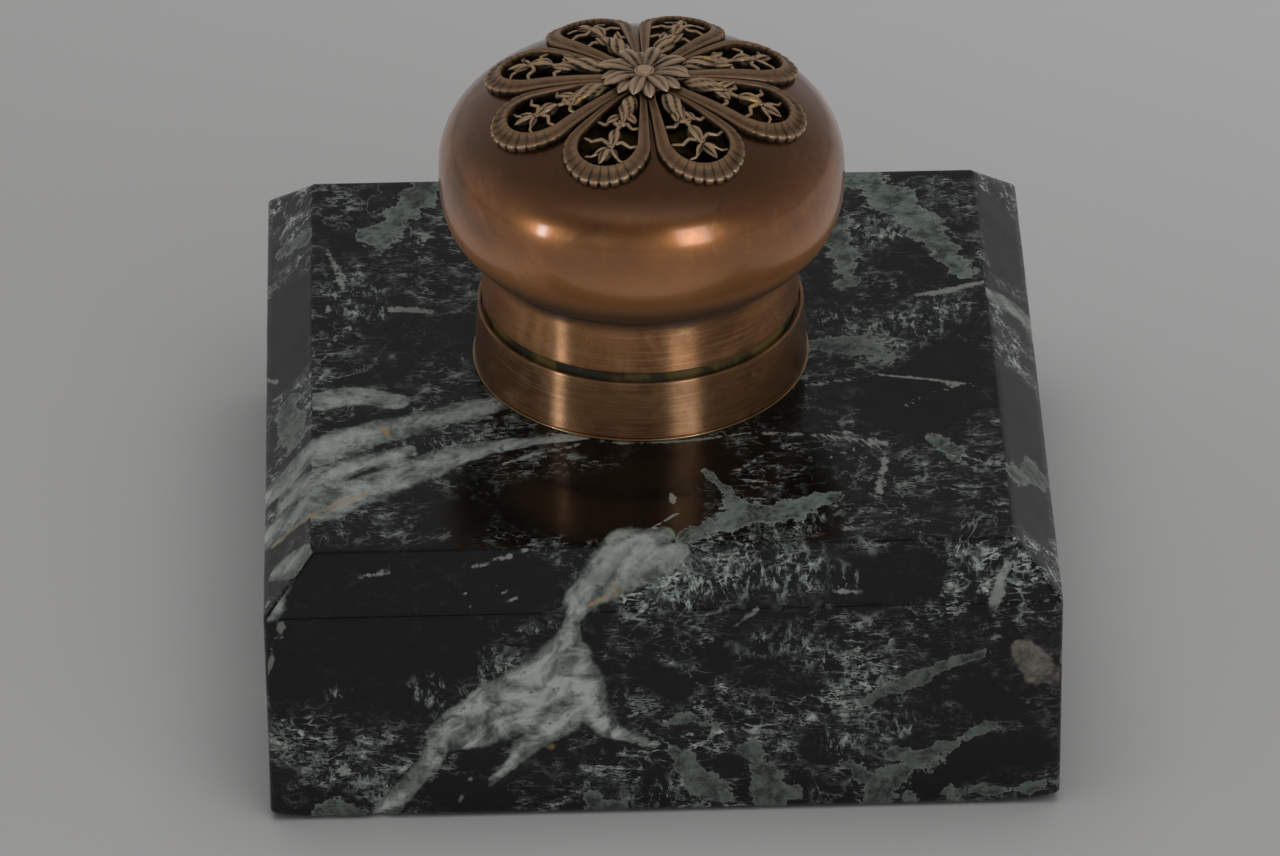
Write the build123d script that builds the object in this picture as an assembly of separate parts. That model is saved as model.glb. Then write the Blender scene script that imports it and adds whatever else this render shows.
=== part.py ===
from build123d import *
from math import asin, cos, pi, sin, sqrt
import os

# Desk inkwell: a chamfered marble block with a bored well, a turned copper collar over the well, a
# hinged dome lid that carries a cast openwork rosette, and a porcelain ink pot hanging in the well.
# Millimetres, Z up. The origin is on the table, under the middle of the marble block, and the
# front of the inkwell faces -Y.

# ---- marble block -------------------------------------------------------------------------------
BLOCK_SIDE = 120.0
BLOCK_TOP = 44.2
BLOCK_UNDERSIDE = 0.4
BLOCK_CHAMFER = 7.2
BLOCK_EDGE_ROUND = 0.6
FELT_THICKNESS = 1.2
FELT_SIDE = 110.0
FELT_CORNER = 6.0
WELL_RADIUS = 18.2
WELL_FLOOR = 12.0

# ---- collar, on an axis a little off the middle of the block ------------------------------------
COLLAR_X = -1.7
COLLAR_Y = 1.4
COLLAR_FOOT_RADIUS = 25.7
COLLAR_RIM_RADIUS = 25.2
COLLAR_HEIGHT = 10.1
COLLAR_BORE = 23.4
RIM_RECESS_RADIUS = 24.6
RIM_RECESS_DEPTH = 1.2
RIM_ROUND = 0.25
FOOT_LIP_RADIUS = 26.05
FOOT_LIP_THICKNESS = 0.5
FOOT_PLATE_THICKNESS = 1.6
FOOT_PLATE_GAP = 0.05

# ---- three studs that pull the collar down onto the marble --------------------------------------
STUD_COUNT = 3
STUD_RADIUS = 1.5
STUD_CIRCLE = 21.6
STUD_HOLE_RADIUS = 1.8
STUD_BOTTOM = 2.6
COUNTERBORE_RADIUS = 4.6
COUNTERBORE_TOP = 8.2
NUT_FLATS = 5.5
NUT_THICKNESS = 2.4
WASHER_RADIUS = 3.5
WASHER_THICKNESS = 0.6

# ---- porcelain ink pot --------------------------------------------------------------------------
SEAT_RING_THICKNESS = 0.8
SEAT_RING_RADIUS = 21.4
POT_RADIUS = 17.4
POT_FLANGE_RADIUS = 20.6
POT_FLANGE_THICKNESS = 2.8
POT_DEPTH = 31.5
POT_WALL = 2.4
POT_FLOOR = 3.0
POT_MOUTH_RADIUS = 8.5
POT_FUNNEL_DROP = 4.4
POT_FUNNEL_WALL = 2.0
POT_FLANGE_RIM = 1.8
POT_FLANGE_BEVEL = 0.6
POT_HEEL_BEVEL = 1.2
POT_SHOULDER_DROP = 1.0
POT_CORNER_BEVEL = 2.0

# ---- lid: neck, dome ----------------------------------------------------------------------------
SLEEVE_RADIUS = 24.0
SLEEVE_BORE = 23.1
NECK_RADIUS = 24.5
NECK_GAP = 2.1
NECK_HEIGHT = 10.3
DOME_RADIUS = 31.1
DOME_EQUATOR = 22.8
DOME_RISE = 15.2
DOME_DROP = 16.8
DOME_RISE_POWER = 2.65
DOME_DROP_POWER = 2.6
DOME_WALL = 1.0
DOME_POINTS = 7

# ---- rosette on the lid: eight loops, eight flower sprays, a daisy and its button ----------------
LOOP_COUNT = 8
LOOP_TURN = 2.9
LOOP_CENTRE = 18.0
LOOP_RADIUS = 6.5
LOOP_ROOT = 4.5
LOOP_ROOT_RADIUS = 1.7
OPENING_CENTRE = 18.0
OPENING_RADIUS = 4.1
OPENING_ROOT = 8.6
OPENING_ROOT_RADIUS = 0.8
LOOP_THICKNESS = 1.2
SPRAY_LIFT = 0.4
SPRAY_TOP = 1.5
SPRAY_HUB_RADIUS = 6.0
SPRAY_HUB_OVERLAP = 0.5
INNER_BUD = (6.0, 0.9, 10.6, 1.9)
OUTER_BUD = (15.6, 1.3, 19.2, 0.9)
STEM_CENTRE = 14.0
STEM_LENGTH = 6.0
STEM_WIDTH = 0.9
TENDRIL_WIDTH = 0.8
INNER_TENDRILS = 13.4
INNER_TENDRIL_SPAN = 5.4
OUTER_TENDRILS = 18.0
OUTER_TENDRIL_SPAN = 8.6
DAISY_PETALS = 16
DAISY_RADIUS = 6.8
DAISY_THICKNESS = 0.6
DAISY_HEART_RADIUS = 2.6
PETAL_ROOT = 1.8
PETAL_ROOT_RADIUS = 0.5
PETAL_TIP_RADIUS = 1.1
BUTTON_RADIUS = 1.4
BUTTON_HEIGHT = 0.6
BUTTON_BEVEL = 0.3
DIMPLE_RADIUS = 0.5
DIMPLE_DEPTH = 0.2
BUTTON_SHANK = 1.0
BUTTON_HOLE = 1.1
SHANK_PAST_NUT = 0.6
LID_WASHER_RADIUS = 4.0
LID_WASHER_THICKNESS = 0.6
LID_WASHER_DROP = 0.12
LID_NUT_FLATS = 4.0
LID_NUT_THICKNESS = 1.8

# ---- rear hinge ---------------------------------------------------------------------------------
HINGE_BACK = 27.4
HINGE_LIFT = 1.0
KNUCKLE_RADIUS = 1.7
HINGE_HALF_WIDTH = 6.0
LID_KNUCKLE_HALF_WIDTH = 1.9
KNUCKLE_GAP = 0.3
PIN_RADIUS = 0.8
PIN_CLEARANCE = 0.05
PIN_OVERHANG = 0.6
PIN_HEAD_RADIUS = 1.2
LEAF_THICKNESS = 0.8
LEAF_SKIN_GAP = 0.02
LEAF_HEIGHT = 6.0
COLLAR_LEAF_DROP = 0.8
LID_LEAF_LIFT = 0.4
WEB_DEPTH = 1.6
LID_WEB_BITE = 0.3
RIVET_RADIUS = 0.7
RIVET_HEAD_RADIUS = 1.2
RIVET_HEAD_HEIGHT = 0.5
RIVET_SPREAD = 4.0
RIVET_TAIL_GAP = 0.1
RIVET_HEAD_GAP = 0.15
RIVET_NECK_OVERLAP = 0.1
RIVET_REACH = 5.0

# ---- how far a cutting shape runs past the face that it cuts -------------------------------------
CUT_PAST = 1.0

# ---- levels worked out from the dimensions above ------------------------------------------------
RIM = BLOCK_TOP + COLLAR_HEIGHT
LEDGE = RIM - RIM_RECESS_DEPTH
SEAM = RIM + NECK_HEIGHT
EQUATOR = RIM + DOME_EQUATOR
CROWN = EQUATOR + DOME_RISE
PLATE_TOP = BLOCK_TOP + FOOT_PLATE_THICKNESS
POT_SEAT = PLATE_TOP + SEAT_RING_THICKNESS
HINGE_Z = RIM + HINGE_LIFT
COLLAR_LEAF_TOP = RIM - COLLAR_LEAF_DROP
LID_LEAF_BOTTOM = RIM + NECK_GAP + LID_LEAF_LIFT
DAISY_TOP = SPRAY_TOP + DAISY_THICKNESS
LID_WASHER_TOP = CROWN - DOME_WALL - LID_WASHER_DROP
LID_WASHER_BOTTOM = LID_WASHER_TOP - LID_WASHER_THICKNESS
ON_COLLAR = Location((COLLAR_X, COLLAR_Y, 0))


def turned(corners):
    """A solid of revolution about Z from the corners (radius, height) of its section."""
    section = make_face(Polyline([(r, 0, z) for r, z in corners], close=True))
    return revolve(section, Axis.Z)


def rod(radius, low, high, x=0.0, y=0.0):
    """An upright cylinder between two heights."""
    return Location((x, y, low)) * extrude(Circle(radius), high - low)


def cross_rod(radius, x_from, x_to, y, z):
    """A cylinder that lies along X."""
    plane = Plane(origin=(x_from, y, z), x_dir=(0, 1, 0), z_dir=(1, 0, 0))
    return extrude(plane * Circle(radius), x_to - x_from)


def radial_rod(radius, x, z, y_from, y_to):
    """A cylinder that lies along Y."""
    plane = Plane(origin=(x, y_from, z), x_dir=(1, 0, 0), z_dir=(0, 1, 0))
    return extrude(plane * Circle(radius), y_to - y_from)


def box_between(x0, x1, y0, y1, z0, z1):
    centre = Location(((x0 + x1) / 2, (y0 + y1) / 2, (z0 + z1) / 2))
    return centre * Box(x1 - x0, y1 - y0, z1 - z0)


def stud_places():
    """Centres of the studs: one at the front and two towards the back corners."""
    turns = [-pi / 2 + 2 * pi * i / STUD_COUNT for i in range(STUD_COUNT)]
    return [(STUD_CIRCLE * cos(a), STUD_CIRCLE * sin(a)) for a in turns]


def at_studs(shape):
    return [Location((x, y, 0)) * shape for x, y in stud_places()]


def hex_nut(flats, bore, low, high):
    blank = extrude(RegularPolygon(flats / sqrt(3), 6), high - low)
    return Location((0, 0, low)) * blank - rod(bore, low - CUT_PAST, high + CUT_PAST)


# ---- base ---------------------------------------------------------------------------------------
def marble_base():
    height = BLOCK_TOP - BLOCK_UNDERSIDE
    block = Location((0, 0, BLOCK_UNDERSIDE + height / 2)) * Box(BLOCK_SIDE, BLOCK_SIDE, height)
    block = chamfer(block.faces().sort_by(Axis.Z)[-1].edges(), BLOCK_CHAMFER)
    low_edges = block.faces().sort_by(Axis.Z)[0].edges()
    block = fillet(low_edges + block.edges().filter_by(Axis.Z), BLOCK_EDGE_ROUND)
    recess = felt_pad()
    well = rod(WELL_RADIUS, WELL_FLOOR, BLOCK_TOP + CUT_PAST)
    holes = at_studs(rod(STUD_HOLE_RADIUS, 0, BLOCK_TOP + CUT_PAST))
    counterbores = at_studs(rod(COUNTERBORE_RADIUS, 0, COUNTERBORE_TOP))
    cuts = [ON_COLLAR * cut for cut in [well] + holes + counterbores]
    for cut in [recess] + cuts:
        block = block - cut
    return block


def felt_pad():
    return extrude(RectangleRounded(FELT_SIDE, FELT_SIDE, FELT_CORNER), FELT_THICKNESS)


# ---- collar -------------------------------------------------------------------------------------
def collar_foot_plate():
    bore = WELL_RADIUS
    spigot = COLLAR_BORE - FOOT_PLATE_GAP
    plate = turned([
        (bore, BLOCK_TOP),
        (FOOT_LIP_RADIUS, BLOCK_TOP),
        (FOOT_LIP_RADIUS, BLOCK_TOP + FOOT_LIP_THICKNESS),
        (spigot, BLOCK_TOP + FOOT_LIP_THICKNESS),
        (spigot, PLATE_TOP),
        (bore, PLATE_TOP),
    ])
    for hole in at_studs(rod(STUD_RADIUS, BLOCK_TOP - CUT_PAST, PLATE_TOP + CUT_PAST)):
        plate = plate - hole
    return ON_COLLAR * plate


def collar_tube():
    foot = BLOCK_TOP + FOOT_LIP_THICKNESS
    tube = turned([
        (COLLAR_BORE, foot),
        (COLLAR_FOOT_RADIUS, foot),
        (COLLAR_RIM_RADIUS, RIM - RIM_ROUND),
        (COLLAR_RIM_RADIUS - RIM_ROUND, RIM),
        (RIM_RECESS_RADIUS, RIM),
        (RIM_RECESS_RADIUS, LEDGE),
        (COLLAR_BORE, LEDGE),
    ])
    for x in (-RIVET_SPREAD, RIVET_SPREAD):
        tube = tube - radial_rod(RIVET_RADIUS, x, collar_rivet_z(), 0, HINGE_BACK)
    return ON_COLLAR * tube


def stud_rods():
    stud = rod(STUD_RADIUS, STUD_BOTTOM, PLATE_TOP)
    return Compound([ON_COLLAR * piece for piece in at_studs(stud)])


def stud_washers():
    low = COUNTERBORE_TOP - WASHER_THICKNESS
    washer = rod(WASHER_RADIUS, low, COUNTERBORE_TOP)
    washer = washer - rod(STUD_HOLE_RADIUS, low - CUT_PAST, COUNTERBORE_TOP + CUT_PAST)
    return Compound([ON_COLLAR * piece for piece in at_studs(washer)])


def stud_nuts():
    high = COUNTERBORE_TOP - WASHER_THICKNESS
    nut = hex_nut(NUT_FLATS, STUD_RADIUS, high - NUT_THICKNESS, high)
    return Compound([ON_COLLAR * piece for piece in at_studs(nut)])


# ---- ink pot ------------------------------------------------------------------------------------
def pot_seat_ring():
    ring = rod(SEAT_RING_RADIUS, PLATE_TOP, POT_SEAT)
    return ON_COLLAR * (ring - rod(WELL_RADIUS, PLATE_TOP - CUT_PAST, POT_SEAT + CUT_PAST))


def ink_pot():
    bottom = POT_SEAT - POT_DEPTH
    flange_top = POT_SEAT + POT_FLANGE_THICKNESS
    cavity = POT_RADIUS - POT_WALL
    mouth_top = flange_top - POT_FUNNEL_DROP
    pot = turned([
        (0, bottom),
        (POT_RADIUS - POT_HEEL_BEVEL, bottom),
        (POT_RADIUS, bottom + POT_HEEL_BEVEL),
        (POT_RADIUS, POT_SEAT),
        (POT_FLANGE_RADIUS, POT_SEAT),
        (POT_FLANGE_RADIUS, flange_top - POT_FLANGE_BEVEL),
        (POT_FLANGE_RADIUS - POT_FLANGE_BEVEL, flange_top),
        (POT_FLANGE_RADIUS - POT_FLANGE_RIM, flange_top),
        (POT_MOUTH_RADIUS, mouth_top),
        (POT_MOUTH_RADIUS, mouth_top - POT_FUNNEL_WALL),
        (cavity, POT_SEAT - POT_SHOULDER_DROP),
        (cavity, bottom + POT_FLOOR + POT_CORNER_BEVEL),
        (cavity - POT_CORNER_BEVEL, bottom + POT_FLOOR),
        (0, bottom + POT_FLOOR),
    ])
    return ON_COLLAR * pot


# ---- lid ----------------------------------------------------------------------------------------
def lid_sleeve():
    sleeve = rod(SLEEVE_RADIUS, LEDGE, SEAM) - rod(SLEEVE_BORE, LEDGE - CUT_PAST, SEAM + CUT_PAST)
    return ON_COLLAR * drilled_for_lid_rivets(sleeve)


def lid_neck_band():
    low = RIM + NECK_GAP
    band = rod(NECK_RADIUS, low, SEAM) - rod(SLEEVE_RADIUS, low - CUT_PAST, SEAM + CUT_PAST)
    return ON_COLLAR * drilled_for_lid_rivets(band)


def drilled_for_lid_rivets(shape):
    for x in (-RIVET_SPREAD, RIVET_SPREAD):
        shape = shape - radial_rod(RIVET_RADIUS, x, lid_rivet_z(), 0, HINGE_BACK)
    return shape


def quarter_oval(radius, height, power, span):
    """Points of a superellipse quarter, from its end on the axis of height to its widest point."""
    angles = [span * (1 - i / (DOME_POINTS - 1)) for i in range(DOME_POINTS)]
    return [(radius * cos(a) ** (2 / power), height * sin(a) ** (2 / power)) for a in angles]


def dome_upper(offset):
    """The dome's section from the crown to the equator, offset outwards."""
    points = quarter_oval(DOME_RADIUS + offset, DOME_RISE + offset, DOME_RISE_POWER, pi / 2)
    return Spline(
        [(r, 0, EQUATOR + z) for r, z in points],
        tangents=[(1, 0, 0), (0, 0, -1)],
    )


def dome_lower(offset):
    """The dome's section from the equator down to the seam with the neck, offset outwards."""
    drop = DOME_DROP + offset
    span = asin(((EQUATOR - SEAM) / drop) ** (DOME_DROP_POWER / 2))
    points = quarter_oval(DOME_RADIUS + offset, drop, DOME_DROP_POWER, span)
    return Spline([(r, 0, EQUATOR - z) for r, z in reversed(points)])


def dome_shell():
    outer = [dome_upper(0), dome_lower(0)]
    inner = [dome_upper(-DOME_WALL), dome_lower(-DOME_WALL)]
    crown = Line(inner[0] @ 0, outer[0] @ 0)
    foot = Line(outer[1] @ 1, inner[1] @ 1)
    shell = revolve(make_face(outer + inner + [crown, foot]), Axis.Z)
    shell = shell - rod(BUTTON_HOLE, EQUATOR, CROWN + CUT_PAST)
    return ON_COLLAR * shell


def dome_skin(low, high):
    """A layer that follows the dome's upper half, between two offsets outwards from it."""
    bottom = dome_upper(low)
    top = dome_upper(high)
    crown = Line(bottom @ 0, top @ 0)
    edge = Line(bottom @ 1, top @ 1)
    return revolve(make_face([bottom, top, crown, edge]), Axis.Z)


# ---- rosette ------------------------------------------------------------------------------------
def teardrop(root, root_radius, centre, radius):
    """A teardrop along +X: two round ends and the two lines that touch both."""
    lean = (radius - root_radius) / (centre - root)
    rise = sqrt(1 - lean * lean)
    root_touch = (root - root_radius * lean, root_radius * rise)
    tip_touch = (centre - radius * lean, radius * rise)
    tip = ThreePointArc(tip_touch, (centre + radius, 0), (tip_touch[0], -tip_touch[1]))
    back = ThreePointArc((root_touch[0], -root_touch[1]), (root - root_radius, 0), root_touch)
    upper = Line(root_touch, tip_touch)
    lower = Line((tip_touch[0], -tip_touch[1]), (root_touch[0], -root_touch[1]))
    return make_face([upper, tip, lower, back])


def around(shape, count, turn):
    return [Rotation(0, 0, turn + 360 * i / count) * shape for i in range(count)]


def loop_turn():
    """The first loop is the one just right of the front."""
    return -90 + LOOP_TURN + 180 / LOOP_COUNT


def standing(outlines):
    """Upright prisms of outlines, tall enough to cross the whole upper half of the dome."""
    return [Location((0, 0, EQUATOR)) * extrude(outline, 2 * DOME_RISE) for outline in outlines]


def rosette_loops():
    skin = dome_skin(0, LOOP_THICKNESS)
    rings = teardrop(LOOP_ROOT, LOOP_ROOT_RADIUS, LOOP_CENTRE, LOOP_RADIUS)
    openings = teardrop(OPENING_ROOT, OPENING_ROOT_RADIUS, OPENING_CENTRE, OPENING_RADIUS)
    plan = Circle(SPRAY_HUB_RADIUS)
    for outline in around(rings, LOOP_COUNT, loop_turn()):
        plan = plan + outline
    for outline in around(openings, LOOP_COUNT, loop_turn()):
        plan = plan - outline
    plan = plan - Circle(BUTTON_HOLE)
    return ON_COLLAR * (skin & standing([plan])[0])


def spray_outline():
    """One spray along +X: an inner bud, a stem, an outer bud and two pairs of tendrils."""
    stem = Location((STEM_CENTRE, 0)) * Rectangle(STEM_LENGTH, STEM_WIDTH)
    inner_tendrils = Location((INNER_TENDRILS, 0)) * Rectangle(TENDRIL_WIDTH, INNER_TENDRIL_SPAN)
    outer_tendrils = Location((OUTER_TENDRILS, 0)) * Rectangle(TENDRIL_WIDTH, OUTER_TENDRIL_SPAN)
    return teardrop(*INNER_BUD) + stem + teardrop(*OUTER_BUD) + inner_tendrils + outer_tendrils


def rosette_sprays(loops):
    skin = dome_skin(SPRAY_LIFT, SPRAY_TOP)
    hub_skin = dome_skin(LOOP_THICKNESS, SPRAY_TOP)
    plan = Circle(SPRAY_HUB_RADIUS - SPRAY_HUB_OVERLAP)
    for outline in around(spray_outline(), LOOP_COUNT, loop_turn()):
        plan = plan + outline
    sprays = skin & standing([plan - Circle(SPRAY_HUB_RADIUS)])[0]
    hub = hub_skin & standing([Circle(SPRAY_HUB_RADIUS) - Circle(BUTTON_HOLE)])[0]
    return ON_COLLAR * (sprays + hub) - loops


def rosette_daisy():
    skin = dome_skin(SPRAY_TOP, DAISY_TOP)
    petal = teardrop(PETAL_ROOT, PETAL_ROOT_RADIUS, DAISY_RADIUS - PETAL_TIP_RADIUS, PETAL_TIP_RADIUS)
    plan = Circle(DAISY_HEART_RADIUS)
    for outline in around(petal, DAISY_PETALS, LOOP_TURN):
        plan = plan + outline
    plan = plan - Circle(BUTTON_HOLE)
    return ON_COLLAR * (skin & standing([plan])[0])


def rosette_button():
    """A domed rivet-like screw with a dimple in its head; its shank goes through the lid."""
    seat = CROWN + DAISY_TOP
    top = seat + BUTTON_HEIGHT
    end = LID_WASHER_BOTTOM - LID_NUT_THICKNESS - SHANK_PAST_NUT
    button = turned([
        (0, end),
        (BUTTON_SHANK, end),
        (BUTTON_SHANK, seat),
        (BUTTON_RADIUS, seat),
        (BUTTON_RADIUS, top - BUTTON_BEVEL),
        (BUTTON_RADIUS - BUTTON_BEVEL, top),
        (DIMPLE_RADIUS, top),
        (0, top - DIMPLE_DEPTH),
    ])
    return ON_COLLAR * button


def lid_washer():
    disc = rod(LID_WASHER_RADIUS, LID_WASHER_BOTTOM, LID_WASHER_TOP)
    return ON_COLLAR * (disc - rod(BUTTON_HOLE, LID_WASHER_BOTTOM - CUT_PAST, LID_WASHER_TOP + CUT_PAST))


def lid_nut():
    low = LID_WASHER_BOTTOM - LID_NUT_THICKNESS
    return ON_COLLAR * hex_nut(LID_NUT_FLATS, BUTTON_SHANK, low, LID_WASHER_BOTTOM)


# ---- hinge --------------------------------------------------------------------------------------
def collar_rivet_z():
    return COLLAR_LEAF_TOP - LEAF_HEIGHT / 2


def lid_rivet_z():
    return LID_LEAF_BOTTOM + LEAF_HEIGHT / 2


def curved_leaf(skin_radius, low, high):
    """A plate bent round the collar's axis, cut to the hinge's width at the back."""
    ring = rod(skin_radius + LEAF_THICKNESS, low, high) - rod(skin_radius, low - CUT_PAST, high + CUT_PAST)
    return ring & box_between(-HINGE_HALF_WIDTH, HINGE_HALF_WIDTH, 0, HINGE_BACK, low, high)


def knuckle(x_from, x_to, bore):
    barrel = cross_rod(KNUCKLE_RADIUS, x_from, x_to, HINGE_BACK, HINGE_Z)
    return barrel - cross_rod(bore, x_from - CUT_PAST, x_to + CUT_PAST, HINGE_BACK, HINGE_Z)


def hinge_leaf_collar():
    skin = COLLAR_FOOT_RADIUS + LEAF_SKIN_GAP
    low = COLLAR_LEAF_TOP - LEAF_HEIGHT
    leaf = curved_leaf(skin, low, COLLAR_LEAF_TOP)
    inner_end = LID_KNUCKLE_HALF_WIDTH + KNUCKLE_GAP
    for x_from, x_to in ((-HINGE_HALF_WIDTH, -inner_end), (inner_end, HINGE_HALF_WIDTH)):
        web = box_between(x_from, x_to, skin, HINGE_BACK, COLLAR_LEAF_TOP - WEB_DEPTH, HINGE_Z)
        clear = cross_rod(PIN_RADIUS, x_from - CUT_PAST, x_to + CUT_PAST, HINGE_BACK, HINGE_Z)
        leaf = leaf + (web - clear) + knuckle(x_from, x_to, PIN_RADIUS)
    for x in (-RIVET_SPREAD, RIVET_SPREAD):
        leaf = leaf - radial_rod(RIVET_RADIUS, x, collar_rivet_z(), 0, HINGE_BACK + RIVET_REACH)
    return ON_COLLAR * leaf


def hinge_leaf_lid():
    skin = NECK_RADIUS + LEAF_SKIN_GAP
    leaf = curved_leaf(skin, LID_LEAF_BOTTOM, LID_LEAF_BOTTOM + LEAF_HEIGHT)
    half = LID_KNUCKLE_HALF_WIDTH
    bore = PIN_RADIUS + PIN_CLEARANCE
    web = box_between(-half, half, skin + LID_WEB_BITE, HINGE_BACK, HINGE_Z, LID_LEAF_BOTTOM + WEB_DEPTH)
    clear = cross_rod(bore, -half - CUT_PAST, half + CUT_PAST, HINGE_BACK, HINGE_Z)
    leaf = leaf + (web - clear) + knuckle(-half, half, bore)
    for x in (-RIVET_SPREAD, RIVET_SPREAD):
        leaf = leaf - radial_rod(RIVET_RADIUS, x, lid_rivet_z(), 0, HINGE_BACK + RIVET_REACH)
    return ON_COLLAR * leaf


def hinge_pin():
    reach = HINGE_HALF_WIDTH + PIN_OVERHANG
    pin = cross_rod(PIN_RADIUS, -reach, reach, HINGE_BACK, HINGE_Z)
    for x_from, x_to in ((-reach, -HINGE_HALF_WIDTH), (HINGE_HALF_WIDTH, reach)):
        pin = pin + cross_rod(PIN_HEAD_RADIUS, x_from, x_to, HINGE_BACK, HINGE_Z)
    return ON_COLLAR * pin


def rivet_pair(z, inner_radius, leaf_face):
    """Two rivets along Y, flush inside and with a round head outside the leaf."""
    pair = []
    for x in (-RIVET_SPREAD, RIVET_SPREAD):
        inside = sqrt(inner_radius ** 2 - x ** 2)
        outside = sqrt(leaf_face ** 2 - x ** 2)
        head_face = outside + RIVET_HEAD_GAP
        shank = radial_rod(RIVET_RADIUS, x, z, inside + RIVET_TAIL_GAP, head_face + RIVET_NECK_OVERLAP)
        head = radial_rod(RIVET_HEAD_RADIUS, x, z, head_face, head_face + RIVET_HEAD_HEIGHT)
        pair.append(ON_COLLAR * (shank + head))
    return Compound(pair)


def hinge_rivets_collar():
    leaf_face = COLLAR_FOOT_RADIUS + LEAF_SKIN_GAP + LEAF_THICKNESS
    return rivet_pair(collar_rivet_z(), COLLAR_BORE, leaf_face)


def hinge_rivets_lid():
    leaf_face = NECK_RADIUS + LEAF_SKIN_GAP + LEAF_THICKNESS
    return rivet_pair(lid_rivet_z(), SLEEVE_BORE, leaf_face)


def main():
    os.makedirs("parts", exist_ok=True)
    loops = rosette_loops()
    pieces = {
        "marble_base": marble_base(),
        "felt_pad": felt_pad(),
        "collar_foot_plate": collar_foot_plate(),
        "collar_tube": collar_tube(),
        "stud_rods": stud_rods(),
        "stud_washers": stud_washers(),
        "stud_nuts": stud_nuts(),
        "pot_seat_ring": pot_seat_ring(),
        "ink_pot": ink_pot(),
        "lid_sleeve": lid_sleeve(),
        "lid_neck_band": lid_neck_band(),
        "dome_shell": dome_shell(),
        "rosette_loops": loops,
        "rosette_sprays": rosette_sprays(loops),
        "rosette_daisy": rosette_daisy(),
        "rosette_button": rosette_button(),
        "lid_washer": lid_washer(),
        "lid_nut": lid_nut(),
        "hinge_leaf_collar": hinge_leaf_collar(),
        "hinge_leaf_lid": hinge_leaf_lid(),
        "hinge_pin": hinge_pin(),
        "hinge_rivets_collar": hinge_rivets_collar(),
        "hinge_rivets_lid": hinge_rivets_lid(),
    }
    for node, shape in pieces.items():
        export_step(shape, f"parts/{node}.step")


main()
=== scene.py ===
import math
import random

import bpy
import numpy as np
from mathutils import Matrix, Vector, noise


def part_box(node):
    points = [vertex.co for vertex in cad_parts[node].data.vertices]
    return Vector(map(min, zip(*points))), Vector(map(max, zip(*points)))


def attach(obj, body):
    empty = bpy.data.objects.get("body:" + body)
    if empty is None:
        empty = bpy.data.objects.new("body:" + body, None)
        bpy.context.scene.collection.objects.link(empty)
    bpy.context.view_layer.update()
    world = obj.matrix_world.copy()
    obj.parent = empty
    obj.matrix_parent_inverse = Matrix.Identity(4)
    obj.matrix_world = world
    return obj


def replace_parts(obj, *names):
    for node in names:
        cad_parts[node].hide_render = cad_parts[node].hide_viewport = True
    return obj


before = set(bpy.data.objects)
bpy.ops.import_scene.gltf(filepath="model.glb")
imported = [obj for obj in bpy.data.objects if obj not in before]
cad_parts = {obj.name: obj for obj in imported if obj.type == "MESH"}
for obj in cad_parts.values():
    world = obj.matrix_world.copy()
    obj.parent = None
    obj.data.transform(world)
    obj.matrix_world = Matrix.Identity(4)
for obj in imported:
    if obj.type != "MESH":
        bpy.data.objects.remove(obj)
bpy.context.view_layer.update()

# The inkwell's looks, in metres and in the CAD's frame: veined marble, brushed copper, a patinated
# dome with a cast rosette, a porcelain pot. Every size below that isn't read from the frame is in
# millimetres and multiplied by MM.
MM = 0.001
random.seed(17)
# Blender seeds its vector noise from the clock, so it needs a seed of its own.
noise.seed_set(17)

# ---- places and sizes read from the frame -------------------------------------------------------
BLOCK_LOW, BLOCK_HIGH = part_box("marble_base")
TUBE_LOW, TUBE_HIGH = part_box("collar_tube")
PLATE_LOW, PLATE_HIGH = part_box("collar_foot_plate")
SLEEVE_LOW, SLEEVE_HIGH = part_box("lid_sleeve")
NECK_LOW, NECK_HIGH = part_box("lid_neck_band")
POT_LOW, POT_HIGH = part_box("ink_pot")
RING_LOW, RING_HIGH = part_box("pot_seat_ring")
FELT_LOW, FELT_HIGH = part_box("felt_pad")

AXIS = ((TUBE_LOW.x + TUBE_HIGH.x) / 2, (TUBE_LOW.y + TUBE_HIGH.y) / 2)
HALF_SIDE = (BLOCK_HIGH.x - BLOCK_LOW.x) / 2
BLOCK_TOP = BLOCK_HIGH.z
FELT_EDGE = (FELT_HIGH.x - FELT_LOW.x) / 2
RIM = TUBE_HIGH.z
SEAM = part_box("dome_shell")[0].z
NECK_RADIUS = (NECK_HIGH.x - NECK_LOW.x) / 2
SLEEVE_RADIUS = (SLEEVE_HIGH.x - SLEEVE_LOW.x) / 2
POT_FLANGE = (POT_HIGH.x - POT_LOW.x) / 2

# ---- the same driving dimensions as the CAD -----------------------------------------------------
CHAMFER = 7.2 * MM
WELL_RADIUS = 18.2 * MM
WELL_FLOOR = 12.0 * MM
COLLAR_BORE = 23.4 * MM
RIM_RADIUS = 25.2 * MM
RECESS_RADIUS = 24.6 * MM
SLEEVE_BORE = 23.1 * MM
DOME_RADIUS = 31.1 * MM
DOME_EQUATOR = RIM + 22.8 * MM
DOME_RISE = 15.2 * MM
DOME_DROP = 16.8 * MM
RISE_POWER = 2.65
DROP_POWER = 2.6
DOME_WALL = 1.0 * MM
POT_RADIUS, POT_CAVITY, POT_MOUTH = 17.4 * MM, 15.0 * MM, 8.5 * MM
POT_FUNNEL = 4.4 * MM
LOOPS = 8
PETALS = 16
FIRST_LOOP = -math.pi / 2 + math.radians(2.9) + math.pi / LOOPS
LOOP_ROOT, LOOP_ROOT_RADIUS = 4.5 * MM, 1.7 * MM
LOOP_CENTRE, LOOP_RADIUS = 18.0 * MM, 6.5 * MM

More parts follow.
